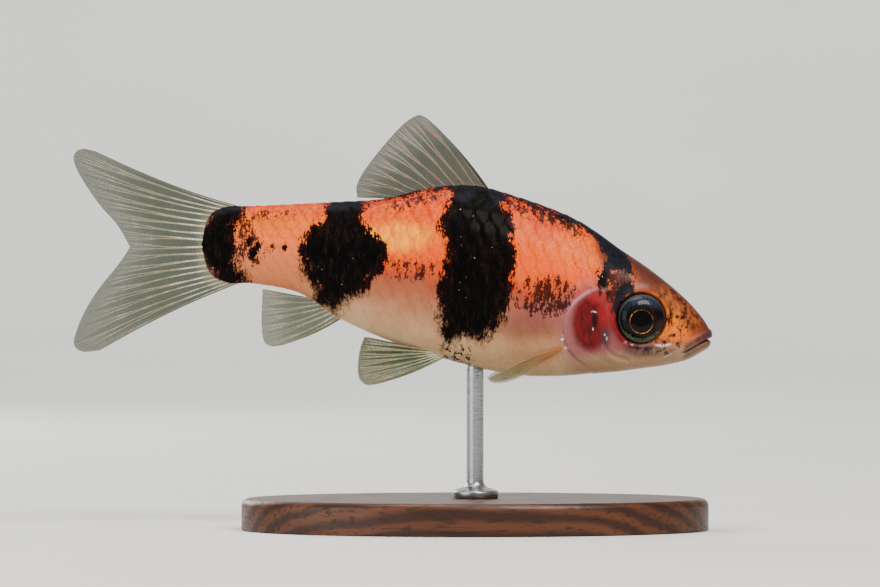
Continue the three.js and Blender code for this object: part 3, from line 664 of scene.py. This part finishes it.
def skin_material():
    """Wet scaled skin: orange above and pale below, ragged black patches, red gill cover, brown head."""
    g = Graph("barb skin", Coat_Roughness=0.12, Subsurface_Weight=0.05, Subsurface_Scale=0.0004,
              Subsurface_Radius=[1.0, 0.45, 0.3], IOR=1.4)
    grain = g.noise(0.5, 4, 0.65, (0.8, 0.8, 1.5))
    fine = g.noise(0.17, 3, 0.6, (1, 1, 1.4))
    broad = g.noise(2.6, 3, 0.55, (1, 1, 1.1))
    streak = g.noise(1.05, 4, 0.7, (0.62, 0.8, 1.7))
    clump = g.noise(0.72, 5, 0.75, (0.62, 0.8, 1.7))
    blotch = g.noise(1.0, 4, 0.65, (0.8, 0.9, 1.3))
    fibre = g.noise(0.34, 4, 0.7, (0.55, 0.8, 1.9))
    level = g.plus("level", g.step(broad, 0.2, 0.8, -0.06, 0.06))
    warm = g.step(level, 0.42, 0.6)
    flank = g.ramp(level, [
        (0.0, (208, 188, 156)), (0.16, (202, 166, 136)), (0.3, (188, 138, 110)), (0.43, (180, 110, 82)),
        (0.54, (214, 102, 46)), (0.63, (242, 112, 0)), (0.7, (234, 114, 0)), (0.79, (228, 112, 0)),
        (0.88, (218, 90, 0)), (1.0, (180, 62, 22)),
    ])
    stalk = g.ramp(level, [
        (0.0, (202, 142, 104)), (0.4, (218, 144, 104)), (0.6, (244, 146, 86)), (0.8, (224, 137, 52)),
        (1.0, (216, 92, 26)),
    ])
    head = g.ramp(level, [
        (0.0, (180, 148, 118)), (0.22, (172, 128, 112)), (0.45, (184, 102, 58)), (0.7, (164, 84, 40)),
        (1.0, (116, 62, 52)),
    ])
    reds = g.mix(g.step(clump, 0.3, 0.72), (90, 6, 24), (148, 20, 34))

    ragged = g.plus(g.step(blotch, 0.25, 0.75, -0.42, 0.42), g.step(fine, 0.25, 0.75, -0.22, 0.22),
                    g.step(fibre, 0.25, 0.75, -0.42, 0.42), g.times("tile_tone", 0.35))
    raw = g.plus("dark", g.times(ragged, g.step("head", 0, 1, 1.0, 0.55)))
    blur = g.step(level, 0.5, 0.12, 0.13, 0.6)
    black = g.step(raw, g.times(blur, -1), blur)
    ink = g.paint(g.mix(g.step(raw, 0.1, 1.2), (44, 16, 14), (12, 9, 11)), [
        # painted highlight: the black lightens to grey-brown towards each scale's free edge
        ((76, 52, 50), "tile_along", g.step(clump, 0.5, 0.66, 0.0, 0.6)),
        # painted sheen: the black turns slate blue-grey on the head and along the ridge of the back
        ((58, 60, 70), g.most("head", g.step(level, 0.9, 0.98)), g.step(grain, 0.3, 0.6, 0.3, 0.85)),
    ])
    spots = g.plus(g.step(clump, 0.3, 0.7, -0.5, 0.5), g.step(fine, 0.25, 0.75, -0.28, 0.28),
                   g.times("mottle", 0.42))
    speck = g.mix(g.step(fine, 0.4, 0.6), (36, 12, 12), (84, 28, 16))
    # painted sparkle: tiny white highlights scattered over the black patches
    glint = g.step(g.noise(0.22, 0, 0.4, (1, 1, 1.5)), 0.84, 0.88)
    # painted glints: near-white highlights along the line under the eye and at the small glint spots
    painted_glints = g.most(g.times("under_eye_glints", g.step(fine, 0.36, 0.52)),
                    g.times("glint_spots", g.step(fine, 0.46, 0.56)))

    base = g.paint(flank, [
        (stalk, g.step("behind", 33, 40)),
        ((242, 140, 16), g.step(grain, 0.42, 0.62), warm, 0.6),
        ((220, 72, 0), g.step(streak, 0.54, 0.7), warm, 0.75),
        ((140, 50, 20), g.step(fine, 0.54, 0.68), warm, 0.5),
        ((255, 196, 56), "gold", g.step(streak, 0.3, 0.62, 0.9, 0.4)),
        ((240, 114, 0), "ember", g.step(grain, 0.4, 0.62, 0.2, 0.75)),
        ((170, 66, 34), "tile_edge", g.step(level, 0.1, 0.6, 0.12, 0.34)),
        # painted shade on the lower flank behind the gill cover
        ((140, 82, 64), "foot", 0.65),
        (head, "head"),
        ((166, 112, 120), "pink", 0.8),
        ((234, 149, 64), "cheek", g.step(blotch, 0.35, 0.62, 0.55, 1.0)),
        ((112, 70, 58), "crown", g.step(grain, 0.35, 0.62, 0.95, 0.55)),
        ((204, 114, 6), "rust", 0.9),
        ((182, 156, 130), "jaw", 0.85),
        ((140, 22, 40), "blush", g.step(grain, 0.3, 0.6, 0.7, 1.0)),
        (reds, "red", 0.97),
        ((182, 66, 72), "rosy", 0.5),
        ((98, 80, 84), "dusk", g.step(clump, 0.3, 0.6, 0.4, 0.8)),
        ((36, 8, 20), "slit", 0.95),
        # pale gill rim with painted highlight towards its top, and painted highlight above the eye
        ((220, 176, 184), "pale_rim_and_highlight", 0.3),
        # lower lip's grey-brown with painted shade under the upper lip
        ((108, 88, 86), "lower_lip_and_shade", 0.75),
        ((90, 76, 84), "lip", g.step(grain, 0.3, 0.7, 0.95, 0.6)),
        (speck, g.step(spots, 0.28, 0.42), g.step("mottle", 0.05, 0.3), 0.95),
        (ink, black),
        # painted shade in the mouth's groove
        ((56, 36, 38), "gape_shade", 0.75),
        # painted shade in the nostril holes
        ((40, 22, 26), "nostril", 0.8),
        # painted shade round the eye's socket
        ((60, 32, 28), "socket", 0.7),
        # painted sparkle on the black
        ((255, 240, 222), glint, black, 0.5),
        # painted glints, near-white
        ((251, 249, 251), painted_glints),
    ])
    return g.shade(
        Base_Color=base,
        Specular_IOR_Level=g.step(black, 0.2, 1.0, 0.16, 0.05),
        Coat_Weight=g.step(black, 0.2, 1.0, 0.05, 0.02),
        Roughness=g.plus(g.step(grain, 0.3, 0.7, 0.26, 0.46), g.times(black, 0.14)),
        Normal=g.bump(grain, 0.14, 0.7, g.bump(fine, 0.06, 0.6)),
    )


# Eyes

def build_eye(hand, side):
    """An eye as a domed disc: rings whose depth follows a rounded rim and a shallow dome, with the pupil's
    rings sliding a little downwards towards the middle."""
    share = np.linspace(0, 1, EYE_RINGS)
    radius = EYE_RADIUS * np.cos(share * np.pi / 2) ** 0.62
    depth = EYE_RIM + (EYE_DOME - EYE_RIM) * np.sin(share * np.pi / 2) ** 0.95
    profile = np.vstack([EYE_BACK, np.stack([radius, depth], axis=-1)])
    points, faces = lathe(profile, EYE_SIDES, 0)
    ahead, above, depth = points.T
    off = np.hypot(ahead, above)
    around = np.arctan2(above, ahead)
    fields = {"off": off / EYE_RADIUS, "cos_around": np.cos(around), "sin_around": np.sin(around)}
    slide = smooth_step(1 - off / EYE_RADIUS, 0, 0.75) * (depth > 0.1)
    ahead = ahead - PUPIL_BACK * slide
    turned = np.stack([
        ahead * math.cos(EYE_TURN) + depth * math.sin(EYE_TURN),
        side * (depth * math.cos(EYE_TURN) - ahead * math.sin(EYE_TURN)),
        above - PUPIL_DROP * slide,
    ], axis=-1)
    if side > 0:
        faces = [group[:, ::-1] for group in faces]
    return piece(f"eyeball_{hand}", turned + in_model(*EYE_PLACE, side * EYE_DEPTH), faces, fields)


def eye_material():
    """A dark iris under a clear wet surface: slate rim partly lit by painted highlight, painted blue-grey
    highlight on the upper iris, brown flecks, thin gold ring, black pupil.
    """
    g = Graph("barb eye", Coat_Weight=0.19, Coat_Roughness=0.02, Specular_IOR_Level=0.08, IOR=1.38)
    fleck = g.noise(0.22, 4, 0.7)
    broad = g.noise(0.9, 2, 0.5)
    broken = g.step(g.noise(0.8, 3, 0.6), 0.4, 0.56, 0.12, 1.0)
    low_back = g.step(g.plus("cos_around", "sin_around"), 0.9, -0.9, 0.3, 1.0)
    gold = g.mix(g.step(fleck, 0.4, 0.6), (196, 110, 44), (255, 206, 120))
    base = g.paint(g.mix(g.step(fleck, 0.4, 0.68), (10, 11, 15), (34, 38, 48)), [
        ((84, 36, 16), g.step("cos_around", -0.2, 0.8), g.step(broad, 0.35, 0.65), 0.6),
        # painted highlight: blue-grey on the upper part of the iris, as from light above
        ((84, 94, 110), g.step("sin_around", 0.3, 0.95), g.step("off", 0.6, 0.8),
         g.step(fleck, 0.35, 0.6, 0.15, 0.7)),
        ((128, 138, 98), g.step("sin_around", -0.35, -0.9), g.step("off", 0.72, 0.88),
         g.step(fleck, 0.4, 0.6)),
        # the eye's grey outer rim, partly its own colour and partly painted highlight, lighter towards the
        # back
        ((108, 118, 118), g.step("off", 0.88, 0.93), g.step("off", 1.0, 0.96),
         g.step("cos_around", 0.8, -0.6, 0.4, 0.8)),
        (gold, g.step("off", PUPIL_SHARE - 0.002, PUPIL_SHARE + 0.008),
         g.step("off", PUPIL_SHARE + 0.03, PUPIL_SHARE + 0.018), broken, low_back),
        ((5, 6, 9), g.step("off", PUPIL_SHARE, PUPIL_SHARE - 0.02)),
    ])
    return g.shade(Base_Color=base, Roughness=g.step(fleck, 0.3, 0.7, 0.25, 0.45),
                   Normal=g.bump(fleck, 0.04, 0.4))


# Fins

def ray_field(across, out, rays, width, half_width):
    """Strength of the rays at across (0 to 1 over the fin) and out (0 root to 1 tips). Each ray is a bell
    curve whose middle line sways and forks twice, and the sine of its number shifts the forks."""
    pitch = 1 / rays
    number = np.clip(np.floor(across / pitch), 0, rays - 1)
    off = across - (number + 0.5) * pitch
    off = off - pitch * RAY_WANDER * np.sin(5.3 * out + 2.7 * number) * np.sin(np.pi * out)
    first_split = 0.4 + 0.1 * np.sin(number * 2.1)
    second_split = 0.68 + 0.08 * np.sin(number * 3.7 + 1)
    branched = (number > 0.5) * pitch
    fork_one = branched * 0.25 * np.clip((out - first_split) / (1 - first_split), 0, 1) ** 0.8
    fork_two = branched * 0.12 * np.clip((out - second_split) / (1 - second_split), 0, 1) ** 0.8
    near = np.minimum.reduce([
        np.abs(off - first * fork_one - second * fork_two) for first in (-1, 1) for second in (-1, 1)
    ])
    return bell(near * width, half_width * (1 - 0.6 * out))


def build_fin(name, halves, rays, half_width, columns, rows, bulge, sway, side=1, edge_width=0.2):
    """A fin as one closed sheet. halves is one or two pairs of lines (root, tips), the second run backwards
    so that both share the middle ray. A point is root plus its share of the way to the tip, bowed by bulge
    times the sine of that way, with half the thickness of membrane and ray to each side."""
    across = np.linspace(0, 1, columns)
    out = np.linspace(0, 1, rows) ** 0.9
    if len(halves) == 1:
        root, tips = (even_spline(line, across) for line in halves[0])
        lean = bulge[0] * (1 - across)
    else:
        share = np.where(across < 0.5, across * 2, 2 - across * 2)
        upper = (across < 0.5)[:, None]
        root, tips = (np.where(upper, even_spline(above, share), even_spline(below, share))
                      for above, below in zip(*halves))
        lean = np.where(across < 0.5, *bulge) * (1 - share)
    length = np.linalg.norm(tips - root, axis=1, keepdims=True)
    root = root - (tips - root) / length * ROOT_SUNK
    across = across[:, None]
    grid = root[:, None] + (tips - root)[:, None] * out[:, None]
    grid[..., 1] += lean[:, None] * np.sin(np.pi * out)
    grid[..., 2] += sway * np.sin(2.3 * np.pi * across) * out**1.5
    grid[..., 2] *= side
    points = in_model(grid[..., 0], grid[..., 1], grid[..., 2])
    aside = np.gradient(points, axis=0)
    width = np.linalg.norm(aside, axis=-1).sum(axis=0, keepdims=True)
    ray = ray_field(across, out, rays, width, half_width)
    edge = bell(across * width, edge_width)
    if len(halves) == 2:
        edge = np.maximum(edge, bell((1 - across) * width, edge_width))
    thick = MEMBRANE * (1 - 0.45 * out) + RAY_THICKNESS * np.maximum(ray, 0.8 * edge) * (1 - 0.72 * out)
    thick = thick * np.minimum(1, np.minimum(across, 1 - across) * width / 0.05 + 0.3)
    thick = thick * np.minimum(1, (1 - out) * 40 + 0.3)
    facing = np.cross(aside, np.gradient(points, axis=1))
    facing /= np.linalg.norm(facing, axis=-1, keepdims=True)
    half = facing * (thick / 2)[..., None]
    sheet = np.concatenate([(points + half).reshape(-1, 3), (points - half).reshape(-1, 3)])
    column, line = np.meshgrid(np.arange(columns - 1), np.arange(rows - 1), indexing="ij")
    here = (column * rows + line).ravel()
    front = np.stack([here, here + rows, here + rows + 1, here + 1], axis=-1)
    count = columns * rows
    border = np.concatenate([
        np.arange(columns) * rows,
        (columns - 1) * rows + np.arange(1, rows),
        np.arange(columns - 2, -1, -1) * rows + rows - 1,
        np.arange(rows - 2, 0, -1),
    ])
    following = np.roll(border, -1)
    rim = np.stack([following, border, border + count, following + count], axis=-1)
    fields = {"ray": ray, "edge": edge, "out": np.broadcast_to(out, ray.shape), "reach": out * length}
    fields = {label: np.tile(value.ravel(), 2) for label, value in fields.items()}
    return piece(name, sheet, [np.vstack([front, front[:, ::-1] + count, rim])], fields)


def fin_material(name, membrane, ray_root, ray_tip, lead, clear, flesh=(216, 170, 144), flesh_end=0.24,
                 vein=(176, 150, 110)):
    """A clear tinted membrane with pale jointed rays, a fleshy root, and its leading edge in lead."""
    g = Graph(name, Roughness=0.3, Coat_Weight=0.2, Coat_Roughness=0.15, IOR=1.38)
    cloud = g.noise(1.4, 3, 0.6)
    speck = g.noise(0.16, 3, 0.65)
    joints = g.sine(g.times("reach", 2 * math.pi / RAY_JOINT))
    film = g.mix(g.step(cloud, 0.35, 0.65, 0.0, 0.5), membrane, tuple(0.8 * part for part in membrane))
    bone = g.mix(g.plus(g.step("out", 0.08, 0.55), g.step(cloud, 0.35, 0.65, -0.15, 0.15)), ray_root, ray_tip)
    bone = g.paint(bone, [
        ((110, 104, 80), g.step(joints, -0.2, -0.9), 0.35),
        (vein, g.step(g.noise(0.9, 3, 0.65), 0.46, 0.62, 0.0, 0.75)),
    ])
    tint = g.paint(film, [
        (bone, g.step("ray", 0.25, 0.75)),
        (lead, "edge", g.step("out", 0.95, 0.5, 0.45, 0.95)),
        (flesh, g.step("out", flesh_end, flesh_end / 3), g.step(speck, 0.3, 0.6, 0.7, 1.0), 0.7),
    ])
    solid = g.most(
        g.times(g.step("ray", 0.2, 0.8), g.step("out", 0.25, 0.9, 0.9, 0.72)),
        clear,
        g.step("edge", 0.2, 0.7, 0.0, 0.92),
        g.step("out", flesh_end, flesh_end / 4, 0.0, 0.95),
    )
    return g.shade(Base_Color=tint, Alpha=g.times(solid, g.step("out", 0.5, 1.0, 1.0, 0.82)),
                   Normal=g.bump(speck, 0.03, 0.4))


def build_barbel(hand, side):
    """A short soft feeler: circles along a bent line, the radius falling to a rounded end."""
    share = np.linspace(0, 1, BARBEL_STEPS)
    aim = np.array([-0.8, side * 0.42, -0.42])
    aim /= np.linalg.norm(aim)
    start = in_model(*BARBEL_ROOT, side * BARBEL_OFF)
    line = start + aim * (BARBEL_LENGTH * share)[:, None]
    line[:, 2] += 0.16 * share**2
    radius = BARBEL_RADIUS * (1 - 0.62 * share) * np.sqrt(np.clip(1 - share**8, 0, 1))
    across = np.cross(aim, [0, 0, 1])
    across /= np.linalg.norm(across)
    turn = np.linspace(0, 2 * np.pi, BARBEL_SIDES, endpoint=False)[:, None]
    circle = np.cos(turn) * across + np.sin(turn) * np.cross(aim, across)
    rings = line[1:-1, None] + radius[1:-1, None, None] * circle
    points = np.vstack([line[:1], rings.reshape(-1, 3), line[-1:]])
    fields = {"out": np.concatenate([[0], np.repeat(share[1:-1], BARBEL_SIDES), [1]])}
    return piece(f"barbel_{hand}", points, ring_faces(BARBEL_STEPS - 2, BARBEL_SIDES), fields)


def barbel_material():
    """Soft skin, paler at the tip, with fine darker specks."""
    g = Graph("barbel skin", Roughness=0.35, Coat_Weight=0.3, Coat_Roughness=0.15)
    speck = g.noise(0.18, 3, 0.6)
    base = g.paint((150, 112, 96), [
        ((176, 140, 116), "out"),
        ((120, 90, 92), g.step(speck, 0.5, 0.7, 0.0, 0.5)),
    ])
    return g.shade(Base_Color=base, Normal=g.bump(speck, 0.03, 0.5))


# Stand

def arc(centre, radius, start, end, count):
    """Points of (radius, height) on part of a circle, from one angle to another."""
    turn = np.linspace(start, end, count)
    return [(centre[0] + radius * math.cos(t), centre[1] + radius * math.sin(t)) for t in turn]


def build_base():
    """The oval base: the outline of a disc with quarter-circle edges, turned and drawn out along the fish."""
    long_half, wide_half = (BASE_HIGH - BASE_LOW)[:2] / 2
    low = BASE_LOW[2]
    high = BASE_HIGH[2]
    flat = long_half - EDGE_ROUND
    profile = [(0, low)]
    profile += arc((long_half - FOOT_ROUND, low + FOOT_ROUND), FOOT_ROUND, -math.pi / 2, 0, 9)
    profile += arc((flat, high - EDGE_ROUND), EDGE_ROUND, 0, math.pi / 2, 9)
    profile += [(radius, high) for radius in np.linspace(flat, 0, 12)[1:]]
    centre_x = (BASE_LOW[0] + BASE_HIGH[0]) / 2
    return piece("display_base", *lathe(profile, 192, centre_x, wide_half / long_half))


def build_rod():
    """The upright rod, turned: a stepped collar on the base, a slim shaft, and a small cap at the belly."""
    foot = BASE_HIGH[2]
    top = ROD_HIGH[2]
    collar = (ROD_HIGH[0] - ROD_LOW[0]) / 2
    profile = [(0, foot), (collar - 0.1, foot), (collar, foot + 0.1)]
    profile += arc((collar - 0.2, foot + 0.55), 0.2, 0, math.pi / 2, 7)
    profile += arc((ROD_RADIUS + 0.7, foot + 1.65), 0.7, -math.pi / 2, -math.pi, 7)
    profile += [(ROD_RADIUS, level) for level in np.linspace(foot + 1.9, top - 0.4, 10)]
    profile += [(ROD_RADIUS, top + 0.1), (ROD_RADIUS * 0.85, top + 0.35), (0, top + 0.4)]
    return piece("display_rod", *lathe(profile, 64, (ROD_LOW[0] + ROD_HIGH[0]) / 2))


def wood_material():
    """Dark walnut with a satin varnish: drawn-out growth bands, fine pores and a faint sheen."""
    g = Graph("walnut", Roughness=0.42, Specular_IOR_Level=0.3, Coat_Weight=0.06, Coat_Roughness=0.3)
    place = g.put("TexCoord").outputs["Object"]
    parts = g.put("SeparateXYZ", {"Vector": place}).outputs
    wander = g.noise(7.0, 4, 0.5, (6, 1, 1))
    bands = g.sine(g.plus(g.times(parts["Y"], 2300.0), g.times(parts["Z"], 3400.0), g.times(wander, 16.0)))
    pores = g.noise(0.3, 3, 0.6, (14, 1, 1))
    base = g.paint((84, 52, 34), [
        ((124, 84, 56), g.step(bands, -1, 1)),
        ((72, 42, 28), g.step(g.noise(12.0, 2, 0.5, (2, 1, 1)), 0.3, 0.7, 0.0, 0.4)),
        ((40, 24, 16), g.step(pores, 0.52, 0.66, 0.0, 0.7)),
    ])
    return g.shade(Base_Color=base, Roughness=g.step(pores, 0.4, 0.7, 0.36, 0.55),
                   Normal=g.bump(pores, 0.06, 0.35))


def steel_material():
    """Brushed steel: fine scratches round the rod in its roughness and relief."""
    g = Graph("brushed steel", Metallic=1.0)
    brush = g.noise(0.12, 3, 0.6, (8, 8, 0.6))
    return g.shade(Base_Color=g.mix(brush, (150, 152, 156), (206, 207, 210)),
                   Roughness=g.step(brush, 0.3, 0.7, 0.22, 0.42), Normal=g.bump(brush, 0.02, 0.3))


# Studio

def build_studio():
    """A pale sheet of paper just under the stand, which bends up in a quarter circle behind it."""
    wall_y = SHEET_DEPTH + SHEET_BEND
    line = [(y, 0) for y in np.linspace(-SHEET_HALF, SHEET_DEPTH, 12)]
    line += arc((SHEET_DEPTH, SHEET_BEND), SHEET_BEND, -math.pi / 2, 0, 24)
    line += [(wall_y, z) for z in np.linspace(SHEET_BEND + 60, SHEET_RISE, 4)]
    points = [(x, y, z - 0.02) for x in (-SHEET_HALF, SHEET_HALF) for y, z in line]
    count = len(line)
    start = np.arange(count - 1)
    quads = np.stack([start + count, start + count + 1, start + 1, start], axis=-1)
    sheet = piece("studio_sheet", points, [quads])
    g = Graph("studio paper", Roughness=0.85)
    tone = g.mix(g.noise(60.0, 3, 0.5), (224, 224, 222), (232, 232, 230))
    sheet.data.materials.append(g.shade(Base_Color=tone))


def lamp(name, place, aim, size, power, tint=(1, 1, 1)):
    """A soft lamp at a place in millimetres, turned to its aim."""
    light = bpy.data.lights.new(name, "AREA")
    light.shape = "RECTANGLE"
    light.size = size[0] * MM
    light.size_y = size[1] * MM
    light.energy = power
    light.color = tint
    turn = (Vector(aim) - Vector(place)).to_track_quat("-Z", "Y").to_euler()
    placed(name, light, place).rotation_euler = turn


def build_camera():
    """Level and square to the fish, with the lens that makes the view there as wide as the photograph's."""
    camera = bpy.data.cameras.new("camera")
    camera.sensor_width = SENSOR_WIDTH
    camera.lens = SENSOR_WIDTH * CAMERA_DISTANCE / VIEW_WIDTH
    camera.clip_start = 0.01
    camera.clip_end = 10.0
    made = placed("camera", camera, (VIEW_CENTRE_X, -CAMERA_DISTANCE, VIEW_CENTRE_Z))
    made.rotation_euler = (math.pi / 2, 0, 0)
    bpy.context.scene.camera = made


def build_lights():
    """Soft lamps round the fish, one on the backdrop, and a faint even light from all sides."""
    middle = (0, 0, 25)
    lamp("key", (200, -400, 400), middle, (260, 200), 3.8, (1.0, 0.95, 0.86))
    lamp("fill", (-420, -330, 120), middle, (420, 320), 1.5, (1.0, 0.98, 0.96))
    lamp("top", (-40, -70, 480), middle, (320, 220), 1.9, (1.0, 0.97, 0.92))
    lamp("back", (-260, 330, 200), middle, (240, 240), 1.6)
    lamp("backdrop", (0, 520, 620), (0, 1060, 200), (900, 300), 6.5)
    world = bpy.data.worlds.new("studio air")
    world.use_nodes = True
    air = world.node_tree.nodes["Background"].inputs
    air["Color"].default_value = (1.0, 0.98, 0.95, 1)
    air["Strength"].default_value = 0.36
    bpy.context.scene.world = world


def build_fish():
    """Skin, eyes, barbels and fins, each on the body and for the nodes that it stands for."""
    dressed(build_skin(), skin_material(), "skin", "head", "trunk", "tail_stalk")
    eye = eye_material()
    barbel = barbel_material()
    tail = fin_material("tail fin", (74, 88, 38), (240, 240, 228), (146, 150, 122), (84, 92, 62), 0.7,
                        (196, 186, 150))
    dorsal = fin_material("dorsal fin", (72, 76, 32), (180, 160, 114), (146, 144, 104), (16, 14, 16), 0.72,
                          (150, 130, 100), 0.2, (184, 90, 54))
    lower = fin_material("lower fins", (82, 96, 44), (224, 224, 204), (148, 152, 122), (108, 114, 78), 0.66)
    folded = fin_material("pectoral fins", (160, 146, 90), (206, 150, 66), (190, 184, 140), (104, 74, 52),
                          0.45, (202, 140, 50), 0.75)
    tail_lines = [(TAIL_UPPER_ROOT, TAIL_UPPER_TIPS), (TAIL_LOWER_ROOT, TAIL_LOWER_TIPS)]
    dorsal_lines = [(DORSAL_ROOT, DORSAL_TIPS)]
    anal_lines = [(ANAL_ROOT, ANAL_TIPS)]
    pelvic_lines = [(PELVIC_ROOT, PELVIC_TIPS)]
    pectoral_lines = [(PECTORAL_ROOT, PECTORAL_TIPS)]
    tail_fin = build_fin("tail_fin", tail_lines, 19, 0.1, 430, 96, (-0.5, 0.45), 0.25)
    dressed(tail_fin, tail, "fin", "tail_fin_upper", "tail_fin_lower")
    dorsal_fin = build_fin("dorsal_sail", dorsal_lines, 10, 0.075, 300, 80, (0.45,), 0.15, edge_width=0.42)
    dressed(dorsal_fin, dorsal, "fin", "dorsal_fin")
    anal_fin = build_fin("anal_sail", anal_lines, 8, 0.11, 200, 64, (-0.35,), 0.1)
    dressed(anal_fin, lower, "fin", "anal_fin")
    for hand, side in (("left", 1), ("right", -1)):
        dressed(build_eye(hand, side), eye, "eye", f"eye_{hand}")
        dressed(build_barbel(hand, side), barbel, "skin")
        pelvic = build_fin(f"pelvic_sail_{hand}", pelvic_lines, 8, 0.1, 200, 64, (-0.3,), 0.1, side)
        dressed(pelvic, lower, "fin", f"pelvic_fin_{hand}")
        pectoral = build_fin(f"pectoral_sail_{hand}", pectoral_lines, 11, 0.09, 220, 64, (0.15,), 0.1, side)
        dressed(pectoral, folded, "fin", f"pectoral_fin_{hand}")


def build_stand():
    """Base and rod, for their nodes."""
    dressed(build_base(), wood_material(), "stand_wood", "stand_base")
    dressed(build_rod(), steel_material(), "stand_steel", "stand_rod")


build_camera()
build_fish()
build_stand()
build_studio()
build_lights()
